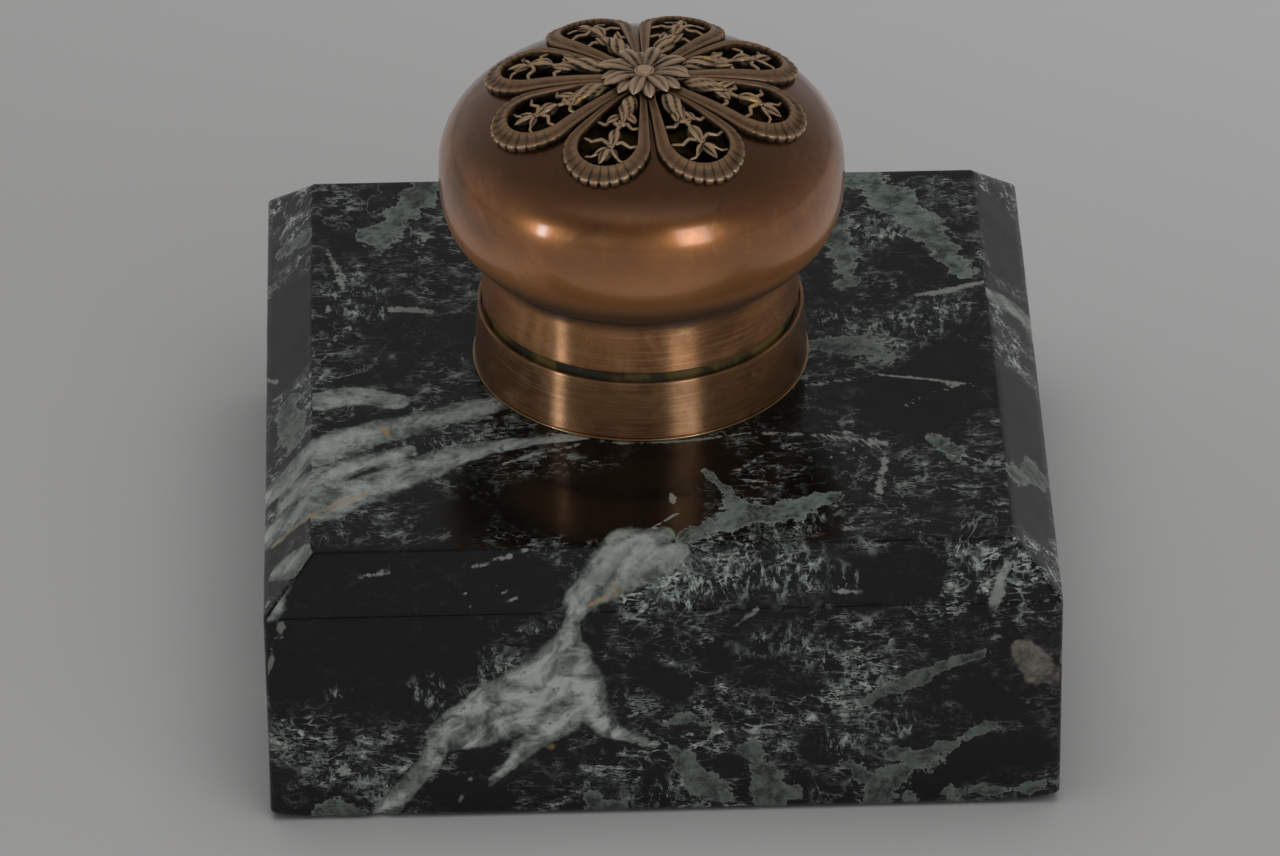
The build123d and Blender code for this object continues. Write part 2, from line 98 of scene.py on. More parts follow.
# ---- dimensions of the visual model alone -------------------------------------------------------
DOME_SHIFT = 0.35 * MM
ROSETTE_SHIFT = 0.6 * MM
NECK_OVERHANG = 0.75 * MM
FINE_SEGMENTS = 220
DOME_SEGMENTS = 240
LIGHT_DISTANCE = 1.6


# ---- node trees ---------------------------------------------------------------------------------
class Tree:
    """The node tree of a material or a world, with one short call for each kind of node."""

    def __init__(self, owner, shader="Principled BSDF", coordinates="Object"):
        owner.use_nodes = True
        self.owner = owner
        self.nodes = owner.node_tree.nodes
        self.links = owner.node_tree.links
        self.shader = self.nodes[shader]
        self.place = self.nodes.new("ShaderNodeTexCoord").outputs[coordinates]

    def put(self, socket, value):
        if isinstance(value, bpy.types.NodeSocket):
            self.links.new(value, socket)
        elif socket.type == "RGBA" and len(value) == 3:
            socket.default_value = (*value, 1.0)
        else:
            socket.default_value = value

    def math(self, operation, first, second=0.0):
        made = self.nodes.new("ShaderNodeMath")
        made.operation = operation
        self.put(made.inputs[0], first)
        self.put(made.inputs[1], second)
        return made.outputs[0]

    def add(self, first, second):
        return self.math("ADD", first, second)

    def times(self, first, second):
        return self.math("MULTIPLY", first, second)

    def centred(self, field, amount):
        """A noise field moved to lie about zero and scaled."""
        return self.times(self.add(field, -0.5), amount)

    def largest(self, first, *others):
        for other in others:
            first = self.math("MAXIMUM", first, other)
        return first

    def vector(self, operation, first, second):
        made = self.nodes.new("ShaderNodeVectorMath")
        made.operation = operation
        self.put(made.inputs[0], first)
        self.put(made.inputs[1], second)
        return made.outputs[0]

    def axes(self):
        """The three coordinates one by one."""
        made = self.nodes.new("ShaderNodeSeparateXYZ")
        self.put(made.inputs[0], self.place)
        return made.outputs

    def stretch(self, scale, turn=(0, 0, 0), source=None):
        """Coordinates turned first and then scaled, which draws a texture out along a slant."""
        made = self.nodes.new("ShaderNodeMapping")
        made.vector_type = "TEXTURE"
        self.put(made.inputs["Vector"], source or self.place)
        made.inputs["Rotation"].default_value = turn
        made.inputs["Scale"].default_value = [1 / s for s in scale]
        return made.outputs[0]

    def wander(self, amount, scale):
        """The object's coordinates pushed about by noise."""
        made = self.nodes.new("ShaderNodeTexNoise")
        self.put(made.inputs["Vector"], self.place)
        made.inputs["Scale"].default_value = scale
        made.inputs["Detail"].default_value = 3.0
        centred = self.vector("SUBTRACT", made.outputs["Color"], (0.5, 0.5, 0.5))
        push = self.vector("MULTIPLY", centred, (amount, amount, amount))
        return self.vector("ADD", self.place, push)

    def noise(self, scale, detail=4.0, rough=0.55, warp=0.0, source=None):
        made = self.nodes.new("ShaderNodeTexNoise")
        self.put(made.inputs["Vector"], source or self.place)
        settings = {"Scale": scale, "Detail": detail, "Roughness": rough, "Distortion": warp}
        for name, number in settings.items():
            made.inputs[name].default_value = number
        return made.outputs[0]

    def cells(self, scale, feature="F1", source=None):
        made = self.nodes.new("ShaderNodeTexVoronoi")
        made.feature = feature
        self.put(made.inputs["Vector"], source or self.place)
        made.inputs["Scale"].default_value = scale
        return made.outputs["Distance"]

    def attribute(self, name):
        made = self.nodes.new("ShaderNodeAttribute")
        made.attribute_name = name
        return made.outputs["Fac"]

    def ease(self, value, low, high, to_low=0.0, to_high=1.0):
        """A smooth step from to_low, where the value is low, to to_high, where it is high."""
        made = self.nodes.new("ShaderNodeMapRange")
        made.interpolation_type = "SMOOTHSTEP"
        for socket, given in zip(made.inputs, (value, low, high, to_low, to_high)):
            self.put(socket, given)
        return made.outputs[0]

    def mix(self, share, first, second):
        made = self.nodes.new("ShaderNodeMix")
        made.data_type = "RGBA"
        self.put(made.inputs[0], share)
        self.put(made.inputs[6], first)
        self.put(made.inputs[7], second)
        return made.outputs[2]

    def bump(self, height, strength, distance):
        made = self.nodes.new("ShaderNodeBump")
        made.inputs["Strength"].default_value = strength
        made.inputs["Distance"].default_value = distance
        self.put(made.inputs["Height"], height)
        return made.outputs[0]

    def set(self, **values):
        """Sets the shader's sockets and gives back the material."""
        for name, value in values.items():
            self.put(self.shader.inputs[name.replace("_", " ")], value)
        return self.owner


def material_tree(name):
    return Tree(bpy.data.materials.new(name))


def line_of(tree, field, width):
    """A thin line where a noise field crosses its middle value."""
    off = tree.math("ABSOLUTE", tree.add(field, -0.5))
    return tree.ease(off, 0.0, width, 1.0, 0.0)


def marble_threads(t, medium, busy):
    """Fine grey-green threads that lie along the bedding and close round lens-shaped grains."""
    drift = t.wander(1.9 * MM, 170)

    def bedded(scale, turn, rough, warp):
        return t.noise(1.0, 4, rough, warp, t.stretch(scale, turn, drift))

    def where(scale, detail, rough, low, high):
        return t.ease(t.noise(scale, detail, rough), low, high)

    swell = t.times(t.add(t.noise(290, 5, 0.68), -0.545), -0.62)
    nets = []
    for scale, turn, width in (((130, 260, 340), (0.03, 0.06, 0.12), 0.045),
                               ((300, 620, 800), (0.02, 0.05, 0.10), 0.06)):
        grains = t.cells(1.0, "DISTANCE_TO_EDGE", t.stretch(scale, turn, drift))
        nets.append(t.ease(t.add(grains, swell), 0.0, width, 1.0, 0.0))
    beds = bedded((105, 240, 310), (0.03, 0.05, 0.08), 0.66, 0.25)
    dash = t.times(line_of(t, beds, 0.032), where(190, 4, 0.6, 0.46, 0.54))
    fine_beds = bedded((260, 640, 860), (0.0, 0.06, 0.10), 0.66, 0.2)
    hair = t.times(line_of(t, fine_beds, 0.050), where(210, 4, 0.65, 0.49, 0.58))
    grit = t.noise(1.0, 3, 0.6, 0.0, t.stretch((520, 1500, 1900), (0.0, 0.05, 0.06)))
    flecks = t.ease(grit, 0.62, 0.68)
    blotch = t.times(t.ease(beds, 0.60, 0.635), where(230, 4, 0.65, 0.50, 0.57))
    threads = t.largest(nets[0], t.times(nets[1], 0.5), t.times(dash, 0.9), t.times(hair, 0.55),
                        t.times(blotch, 0.6), t.times(flecks, 0.4))
    colour = t.mix(t.ease(medium, 0.38, 0.64), (0.085, 0.107, 0.096), (0.56, 0.62, 0.57))
    return t.times(busy, threads), colour


def marble_material():
    t = material_tree("veined_marble")
    coarse = t.noise(95, 3, 0.6)
    medium = t.noise(380, 6, 0.66)
    fine = t.noise(1500, 3, 0.6)
    mottle = t.noise(330, 7, 0.70, 0.3)
    ragged = t.add(t.centred(medium, 2.0), t.centred(fine, 0.6))
    broad = t.add(t.centred(t.noise(170, 3, 0.6), 2.4), t.times(ragged, 0.5))
    slant = (0.0, -0.42, 0.72)
    smoke = t.noise(1.0, 5, 0.6, 0.7, t.stretch((70, 300, 300), slant))
    fibre = t.noise(1.0, 6, 0.68, 0.5, t.stretch((190, 900, 900), slant))
    height = t.axes()["Z"]
    shoulder = BLOCK_TOP - CHAMFER

    def over(share, strength, colour):
        """The colour so far with another laid over it."""
        return t.mix(t.times(share, strength), so_far, colour)

    # The polished top cuts the bedding at a flatter angle and shows fewer of the threads.
    upright = t.ease(height, BLOCK_TOP - 0.3 * MM, BLOCK_TOP - 0.1 * MM, 1.0, 0.45)
    calm_edge = t.add(t.attribute("calm"), t.centred(coarse, 0.8))
    calm = t.ease(calm_edge, -0.30, 0.30, 1.0, 0.02)
    patch = t.ease(t.noise(62, 4, 0.62), 0.44, 0.57, 0.12, 1.0)
    busy = t.times(t.times(calm, patch), upright)
    threads, thread_colour = marble_threads(t, medium, busy)
    ground = t.mix(coarse, (0.0012, 0.0015, 0.0014), (0.0026, 0.0032, 0.0029))
    haze = t.times(busy, t.ease(t.noise(150, 5, 0.65), 0.48, 0.68))
    so_far = t.mix(t.times(haze, 0.25), ground, (0.016, 0.021, 0.018))
    so_far = t.mix(t.times(threads, t.ease(fine, 0.30, 0.60, 0.5, 1.0)), so_far, thread_colour)

    cracks = t.noise(1.0, 5, 0.64, 0.6, t.stretch((48, 48, 80), (0.0, 0.5, 0.6)))
    crack = t.times(line_of(t, cracks, 0.0070), t.ease(t.noise(95, 3, 0.6), 0.48, 0.58))
    so_far = over(t.times(calm, crack), 0.75, (0.17, 0.185, 0.17))

    lace_edge = t.add(t.attribute("lace"), t.centred(coarse, 1.2))
    lace_net = t.noise(1.0, 7, 0.76, 0.3, t.stretch((900, 430, 430), (0.25, 0.0, 0.0)))
    lace = t.times(t.ease(lace_edge, -0.15, 0.65), t.ease(lace_net, 0.515, 0.59))
    lace_colour = t.mix(t.ease(medium, 0.36, 0.64), (0.060, 0.082, 0.075), (0.33, 0.385, 0.35))
    so_far = over(lace, 0.9, lace_colour)

    green_edge = t.add(t.attribute("green"), t.add(t.times(broad, 0.9), t.times(ragged, 0.9)))
    green = t.ease(green_edge, 0.05, 0.19)
    rim = t.times(green, t.ease(green_edge, 0.18, 0.36, 1.0, 0.0))
    patchy = t.mix(t.ease(mottle, 0.38, 0.62), (0.020, 0.030, 0.026), (0.135, 0.165, 0.142))
    patchy = t.mix(t.times(t.ease(fibre, 0.45, 0.7), 0.5), patchy, (0.19, 0.22, 0.20))
    so_far = over(green, 0.88, patchy)
    so_far = over(rim, 0.5, (0.24, 0.27, 0.245))

    white = t.ease(t.add(t.attribute("white"), t.times(broad, 0.50)), -0.06, 0.26)
    core = t.ease(t.add(t.attribute("white"), t.centred(smoke, 2.6)), 0.22, 0.95)
    core = t.times(core, t.ease(height, shoulder - 1 * MM, shoulder + 2 * MM, 1.0, 0.30))
    veil = t.mix(t.ease(mottle, 0.36, 0.64), (0.050, 0.062, 0.055), (0.235, 0.265, 0.235))
    snow = t.mix(t.ease(smoke, 0.30, 0.66), (0.17, 0.185, 0.175), (0.60, 0.62, 0.60))
    snow = t.mix(t.times(t.ease(mottle, 0.50, 0.66), 0.5), snow, (0.55, 0.56, 0.54))
    pale = t.mix(t.times(core, 0.92), veil, snow)
    holes = t.times(t.ease(t.noise(620, 4, 0.6), 0.62, 0.70), 0.7)
    pale = t.mix(holes, pale, (0.030, 0.036, 0.032))
    so_far = t.mix(t.times(white, t.ease(fibre, 0.18, 0.46, 0.62, 1.0)), so_far, pale)

    thin_edge = t.add(t.add(t.attribute("thin"), t.centred(medium, 3.0)), t.centred(fine, 1.4))
    so_far = over(t.ease(thin_edge, 0.12, 0.60), 0.75, (0.25, 0.265, 0.235))
    ochre = t.ease(t.add(t.attribute("ochre"), t.times(ragged, 0.9)), 0.1, 0.9)
    so_far = over(ochre, 0.7, (0.36, 0.23, 0.095))
    beige = t.ease(t.add(t.attribute("beige"), t.times(broad, 0.6)), 0.0, 0.3)
    sandy = t.mix(t.ease(mottle, 0.36, 0.64), (0.05, 0.046, 0.04), (0.27, 0.24, 0.205))
    so_far = over(beige, 0.85, sandy)
    chips = t.ease(t.attribute("chip"), 0.35, 0.75)
    colour = t.mix(chips, so_far, (0.42, 0.43, 0.42))

    rough = t.ease(t.noise(90, 4, 0.6), 0.3, 0.8, 0.13, 0.20)
    rough = t.add(rough, t.times(t.largest(white, green), 0.08))
    rough = t.add(rough, t.times(chips, 0.4))
    pits = t.ease(t.noise(900, 2, 0.5), 0.68, 0.76)
    scores = t.noise(1.0, 2, 0.5, 0.2, t.stretch((60, 900, 300), (0.3, 0.2, 0.5)))
    relief = t.add(t.times(pits, -1.0), t.times(line_of(t, scores, 0.012), -0.25))
    return t.set(
        Base_Color=colour,
        Roughness=rough,
        IOR=1.42,
        Normal=t.bump(relief, 0.10, 0.08 * MM),
    )


def dome_patina(t, colour, roughness, height, cloud, blot):
    """Browned crown, warmer front, a belly painted brighter as a painted reflection of the lit
    floor, spots, and soot with painted shade beside and inside the loops.
    """
    crown = t.ease(height, DOME_EQUATOR + 5 * MM, DOME_EQUATOR + 12 * MM, 0.0, 0.80)
    brown = t.mix(cloud, (0.090, 0.036, 0.009), (0.27, 0.100, 0.024))
    colour = t.mix(crown, colour, brown)
    warm = t.times(t.ease(t.attribute("warm"), 0.0, 0.6), t.ease(cloud, 0.42, 0.60))
    colour = t.mix(t.times(warm, 0.45), colour, (0.50, 0.19, 0.055))
    age = t.noise(36, 5, 0.62, 0.5)
    colour = t.mix(t.ease(age, 0.52, 0.68, 0.0, 0.55), colour, (0.13, 0.062, 0.020))
    colour = t.mix(t.ease(age, 0.48, 0.36, 0.0, 0.40), colour, (0.60, 0.225, 0.060))
    # Painted reflection: the lower belly is painted brighter to stand for the lit floor it
    # reflects.
    painted_belly_glow = t.ease(height, DOME_EQUATOR + 3 * MM, DOME_EQUATOR - 7 * MM)
    colour = t.mix(t.times(painted_belly_glow, 0.95), colour, (0.90, 0.40, 0.150))
    spots = t.times(t.ease(t.noise(330, 5, 0.7), 0.60, 0.70), t.ease(cloud, 0.48, 0.62))
    colour = t.mix(t.times(spots, 0.55), colour, (0.07, 0.04, 0.02))
    # Dirt and painted shade: the dome is darkened almost to black under and beside the rosette's
    # loops, where they shade it.
    dirt_and_shade = t.ease(t.add(t.attribute("grime_and_shade"), t.centred(blot, 0.5)), 0.25, 0.8)
    soot_and_shade = t.mix(t.ease(blot, 0.46, 0.64), (0.011, 0.008, 0.004), (0.115, 0.072, 0.024))
    colour = t.mix(t.times(dirt_and_shade, 0.95), colour, soot_and_shade)
    roughness = t.add(t.add(roughness, t.times(painted_belly_glow, 0.14)), t.times(dirt_and_shade, 0.35))
    return colour, roughness, dirt_and_shade


def verdigris(t, height, blot, low, high):
    """How thickly verdigris covers the metal between two heights, and its colour."""
    level = t.add(height, t.centred(blot, 1.2 * MM))
    upper = t.ease(level, high - 0.4 * MM, high, 1.0, 0.0)
    share = t.times(t.ease(level, low, low + 0.3 * MM), upper)
    bloom = t.ease(t.noise(190, 4, 0.6), 0.38, 0.62)
    bloom = t.mix(bloom, (0.050, 0.036, 0.012), (0.038, 0.040, 0.022))
    bloom = t.mix(t.ease(t.noise(110, 3, 0.6, 0.4), 0.47, 0.58), bloom, (0.21, 0.145, 0.028))
    crumbs = t.times(t.ease(t.noise(700, 4, 0.6), 0.55, 0.70), 0.6)
    return share, t.mix(crumbs, bloom, (0.10, 0.11, 0.060))


def copper_material(name, dark, mid, bright, rough, brushed, seam=None, crease=None,
                    patina=False, coat=0.35, sheen=0.24, gloss=1.6):
    """Old copper. brushed is the depth of its turning marks, seam the pair of heights between
    which verdigris has grown, and crease the height where painted shade starts, the height
    where it is darkest, and how dark it is there."""
    t = material_tree(name)
    cloud = t.noise(75, 5, 0.6, 0.4)
    blot = t.noise(260, 5, 0.65, 0.3)
    speck = t.noise(1400, 3, 0.6)
    turning = t.noise(1.0, 3, 0.7, 0.0, t.stretch((55, 55, 9000)))
    streaks = t.noise(1.0, 4, 0.7, 0.0, t.stretch((120, 120, 2600)))
    height = t.axes()["Z"]
    turned = brushed > 0.5

    colour = t.mix(t.ease(cloud, 0.34, 0.68), mid, dark)
    colour = t.mix(t.times(t.ease(blot, 0.50, 0.78), 0.75), colour, bright)
    colour = t.mix(t.times(t.ease(speck, 0.66, 0.74), 0.5), colour, dark)
    colour = t.mix(t.times(t.ease(streaks, 0.42, 0.66), 0.55 * min(1.0, brushed)), colour, bright)
    roughness = t.ease(cloud, 0.3, 0.7, rough - 0.05, rough + 0.06)
    roughness = t.add(roughness, t.centred(speck, 0.12))
    metal, coat_weight = 1.0, coat
    if patina:
        colour, roughness, dirt_and_shade = dome_patina(t, colour, roughness, height, cloud, blot)
        coat_weight = t.ease(dirt_and_shade, 0.1, 0.7, coat, 0.0)
    if crease:
        start, full, depth = crease
        # Painted shade: the metal darkens almost to black in the crease between dome and neck,
        # under the dome's overhang.
        painted_crease_shade = t.ease(t.add(height, t.centred(blot, 1.0 * MM)), start, full, 0.0, depth)
        colour = t.mix(painted_crease_shade, colour, (0.030, 0.018, 0.010))
        roughness = t.add(roughness, t.times(painted_crease_shade, 0.35))
        metal = t.ease(painted_crease_shade, 0.2, 0.9, 1.0, 0.1)
        coat_weight = t.times(coat_weight, t.ease(painted_crease_shade, 0.0, 0.6, 1.0, 0.0))
    if turned:
        # Painted shade: the colour darkens where the band's surface turns away from the camera, at
        # its sides.
        facing = t.nodes.new("ShaderNodeLayerWeight")
        facing.inputs["Blend"].default_value = 0.45
        shade = t.ease(facing.outputs["Facing"], 0.26, 0.72, 0.0, 0.88)
        colour = t.mix(shade, colour, dark)
        t.set(Anisotropic=1.0, Anisotropic_Rotation=0.25)
    if brushed == 1.0:
        # Brushing that runs round Z spreads highlights up and down.
        tangent = t.nodes.new("ShaderNodeTangent")
        tangent.direction_type = "RADIAL"
        tangent.axis = "Z"
        t.set(Tangent=tangent.outputs[0])
    if seam:
        share, bloom = verdigris(t, height, blot, *seam)
        colour = t.mix(share, colour, bloom)
        roughness = t.add(roughness, t.times(share, 0.4))
        metal = t.ease(share, 0.2, 0.9, 1.0, 0.1)
    relief = t.add(t.times(turning, brushed), t.times(speck, 0.35))
    return t.set(
        Base_Color=colour,
        Metallic=metal,
        Roughness=roughness,
        Coat_Weight=coat_weight,
        Coat_IOR=gloss,
        Coat_Roughness=sheen,
        Normal=t.bump(relief, 0.22, 0.03 * MM) if turned else t.bump(relief, 0.10, 0.04 * MM),
    )


def bronze_material(name, deep, high, gold, gilding):
    """Cast bronze, dark in its recesses from patina and painted shade, painted lighter on its upper
    faces.
    The attribute "proud" says how high a point stands and how far it faces up.
    """
    t = material_tree(name)
    blot = t.noise(420, 5, 0.65)
    fine = t.noise(2600, 3, 0.6)
    # Painted light and shade, partly real patina in the hollows: stand is light on raised, upward
    # faces and dark in recesses.
    stand = t.ease(t.add(t.attribute("proud"), t.centred(blot, 0.55)), 0.30, 0.92)
    colour = t.mix(stand, deep, high)
    colour = t.mix(t.times(t.ease(blot, 0.46, 0.7), 0.5), colour, t.mix(fine, deep, high))
    glint = t.times(t.ease(t.noise(230, 2, 0.5), 1.0 - gilding, 1.06 - gilding), stand)
    colour = t.mix(glint, colour, gold)
    # Rubbed wear and painted highlight: the edge field lightens rims, ridges and upper edges
    # towards a bright brass colour.
    edge = t.ease(t.attribute("edge"), 0.2, 0.9)
    colour = t.mix(t.times(edge, 0.7), colour, (0.80, 0.56, 0.36))
    rough = t.add(t.ease(stand, 0.0, 1.0, 0.62, 0.36), t.centred(fine, 0.2))
    relief = t.add(t.times(blot, 0.6), t.times(fine, 0.5))
    return t.set(
        Base_Color=colour,
        Metallic=t.ease(stand, 0.0, 0.5, 0.45, 0.80),
        Roughness=rough,
        Normal=t.bump(relief, 0.35, 0.00006),
    )


def porcelain_material():
    t = material_tree("porcelain_glaze")
    wash = t.noise(60, 4, 0.6)
    craze = t.ease(t.cells(420, "DISTANCE_TO_EDGE"), 0.0, 0.02, 1.0, 0.0)
    stain = t.ease(t.add(t.attribute("ink"), t.centred(t.noise(240, 4, 0.6), 0.8)), 0.35, 0.95)
    colour = t.mix(wash, (0.74, 0.72, 0.66), (0.84, 0.83, 0.79))
    colour = t.mix(t.times(craze, 0.30), colour, (0.42, 0.36, 0.28))
    colour = t.mix(t.times(stain, 0.93), colour, (0.012, 0.014, 0.045))
    return t.set(
        Base_Color=colour,
        Roughness=t.ease(wash, 0.3, 0.7, 0.10, 0.20),
        Coat_Weight=0.5,
        Coat_Roughness=0.06,
        Subsurface_Weight=0.08,
        Normal=t.bump(t.noise(45, 2), 0.12, 0.0004),
    )


def felt_material():
    t = material_tree("green_felt")
    fibre = t.noise(1.0, 5, 0.7, 1.4, t.stretch((2200, 2600, 2400)))
    worn = t.noise(70, 4, 0.6)
    colour = t.mix(fibre, (0.012, 0.035, 0.018), (0.045, 0.095, 0.052))
    colour = t.mix(t.times(t.ease(worn, 0.5, 0.75), 0.4), colour, (0.075, 0.085, 0.055))
    return t.set(
        Base_Color=colour,
        Roughness=t.ease(worn, 0.3, 0.7, 0.88, 0.98),
        Sheen_Weight=0.35,
        Normal=t.bump(fibre, 0.7, 0.0002),
    )


def leather_material():
    t = material_tree("seat_leather")
    grain = t.cells(1300)
    worn = t.noise(180, 4, 0.6)
    colour = t.mix(worn, (0.055, 0.026, 0.013), (0.17, 0.085, 0.042))
    colour = t.mix(t.ease(grain, 0.25, 0.6, 0.5, 0.0), colour, (0.03, 0.016, 0.010))
    return t.set(
        Base_Color=colour,
        Roughness=t.ease(worn, 0.3, 0.7, 0.5, 0.72),
        Normal=t.bump(grain, 0.45, 0.00012),
    )


def floor_material():
    t = material_tree("pale_floor")
    tint = t.noise(6, 3, 0.5)
    colour = t.mix(tint, (0.475, 0.469, 0.465), (0.490, 0.484, 0.480))
    # Painted light: the floor is painted paler towards the back and the right, where more light
    # falls on it.
    across, back, _ = t.axes()
    slope = t.add(back, t.times(across, 0.55))
    colour = t.mix(t.ease(slope, 0.03, 0.34), colour, (0.620, 0.612, 0.612))
    return t.set(Base_Color=colour, Roughness=0.85, Specular_IOR_Level=0.15)


# ---- mesh helpers -------------------------------------------------------------------------------
def mesh_piece(name, points, faces, material, body):
    mesh = bpy.data.meshes.new(name)
    mesh.from_pydata([tuple(map(float, p)) for p in points], [], faces)
    mesh.validate()
    mesh.update()
    mesh.polygons.foreach_set("use_smooth", [True] * len(mesh.polygons))
    mesh.materials.append(material)
    piece = bpy.data.objects.new(name, mesh)
    bpy.context.scene.collection.objects.link(piece)
    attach(piece, body)
    return piece


def strips(rings, width, start=0, closed=False):
    """Quads between neighbouring rings of points, and a cap on each end of an open run."""
    faces = []
    for i in range(rings if closed else rings - 1):
        low, high = start + i * width, start + (i + 1) % rings * width
        for k in range(width):
            n = (k + 1) % width
            faces.append([low + k, low + n, high + n, high + k])
    if not closed:
        last = start + (rings - 1) * width
        faces.append([start + k for k in range(width)][::-1])
        faces.append([last + k for k in range(width)])
    return faces

def store(piece, name, values):
    attribute = piece.data.attributes.new(name, "FLOAT", "POINT")
    attribute.data.foreach_set("value", np.asarray(values, np.float32))


def rounded_path(corners, steps=5):
    """Corners (r, z, rounding) of a closed section become points, each rounded one an arc."""
    path = []
    count = len(corners)
    for i, (r, z, rounding) in enumerate(corners):
        here = Vector((r, z))
        if rounding <= 0:
            path.append(here)
            continue
        back = Vector(corners[i - 1][:2]) - here
        ahead = Vector(corners[(i + 1) % count][:2]) - here
        reach = min(rounding, 0.45 * back.length, 0.45 * ahead.length)
        start = here + back.normalized() * reach
        end = here + ahead.normalized() * reach
        for k in range(steps + 1):
            s = k / steps
            path.append(start * (1 - s) ** 2 + here * 2 * s * (1 - s) + end * s * s)
    return [(p.x, p.y) for p in path]


def finer(path, longest, closed=True):
    """The same path with no step longer than a limit."""
    dense = []
    last = len(path) if closed else len(path) - 1
    for i in range(last):
        a, b = Vector(path[i]), Vector(path[(i + 1) % len(path)])
        parts = max(1, math.ceil((b - a).length / longest))
        dense += [tuple(a.lerp(b, k / parts)) for k in range(parts)]
    if not closed:
        dense.append(tuple(path[-1]))
    return dense


def lathe(name, path, material, body, segments=180, closed=True, waver=0.0, shift=0.0):
    """Turns a section about the collar's axis. An open path starts and ends on the axis."""
    rows = []
    points = []
    middle = AXIS[0] + shift
    for r, z in path:
        if r < 1e-6:
            rows.append([len(points)] * segments)
            points.append((middle, AXIS[1], z))
            continue
        row = []
        for k in range(segments):
            a = 2 * math.pi * k / segments
            x, y = math.cos(a), math.sin(a)
            sway = waver * noise.noise(Vector((x * 1.3, y * 1.3, z * 60)))
            row.append(len(points))
            points.append((middle + (r + sway) * x, AXIS[1] + (r + sway) * y, z))
        rows.append(row)
    faces = []
    pairs = list(zip(rows, rows[1:])) + ([(rows[-1], rows[0])] if closed else [])
    for low, high in pairs:
        for k in range(segments):
            n = (k + 1) % segments
            ring = [low[k], low[n], high[n], high[k]]
            face = [v for i, v in enumerate(ring) if v not in ring[:i]]
            if len(face) > 2:
                faces.append(face)
    return mesh_piece(name, points, faces, material, body)


def vertex_array(piece):
    flat = np.empty(len(piece.data.vertices) * 3)
    piece.data.vertices.foreach_get("co", flat)
    return flat.reshape(-1, 3)
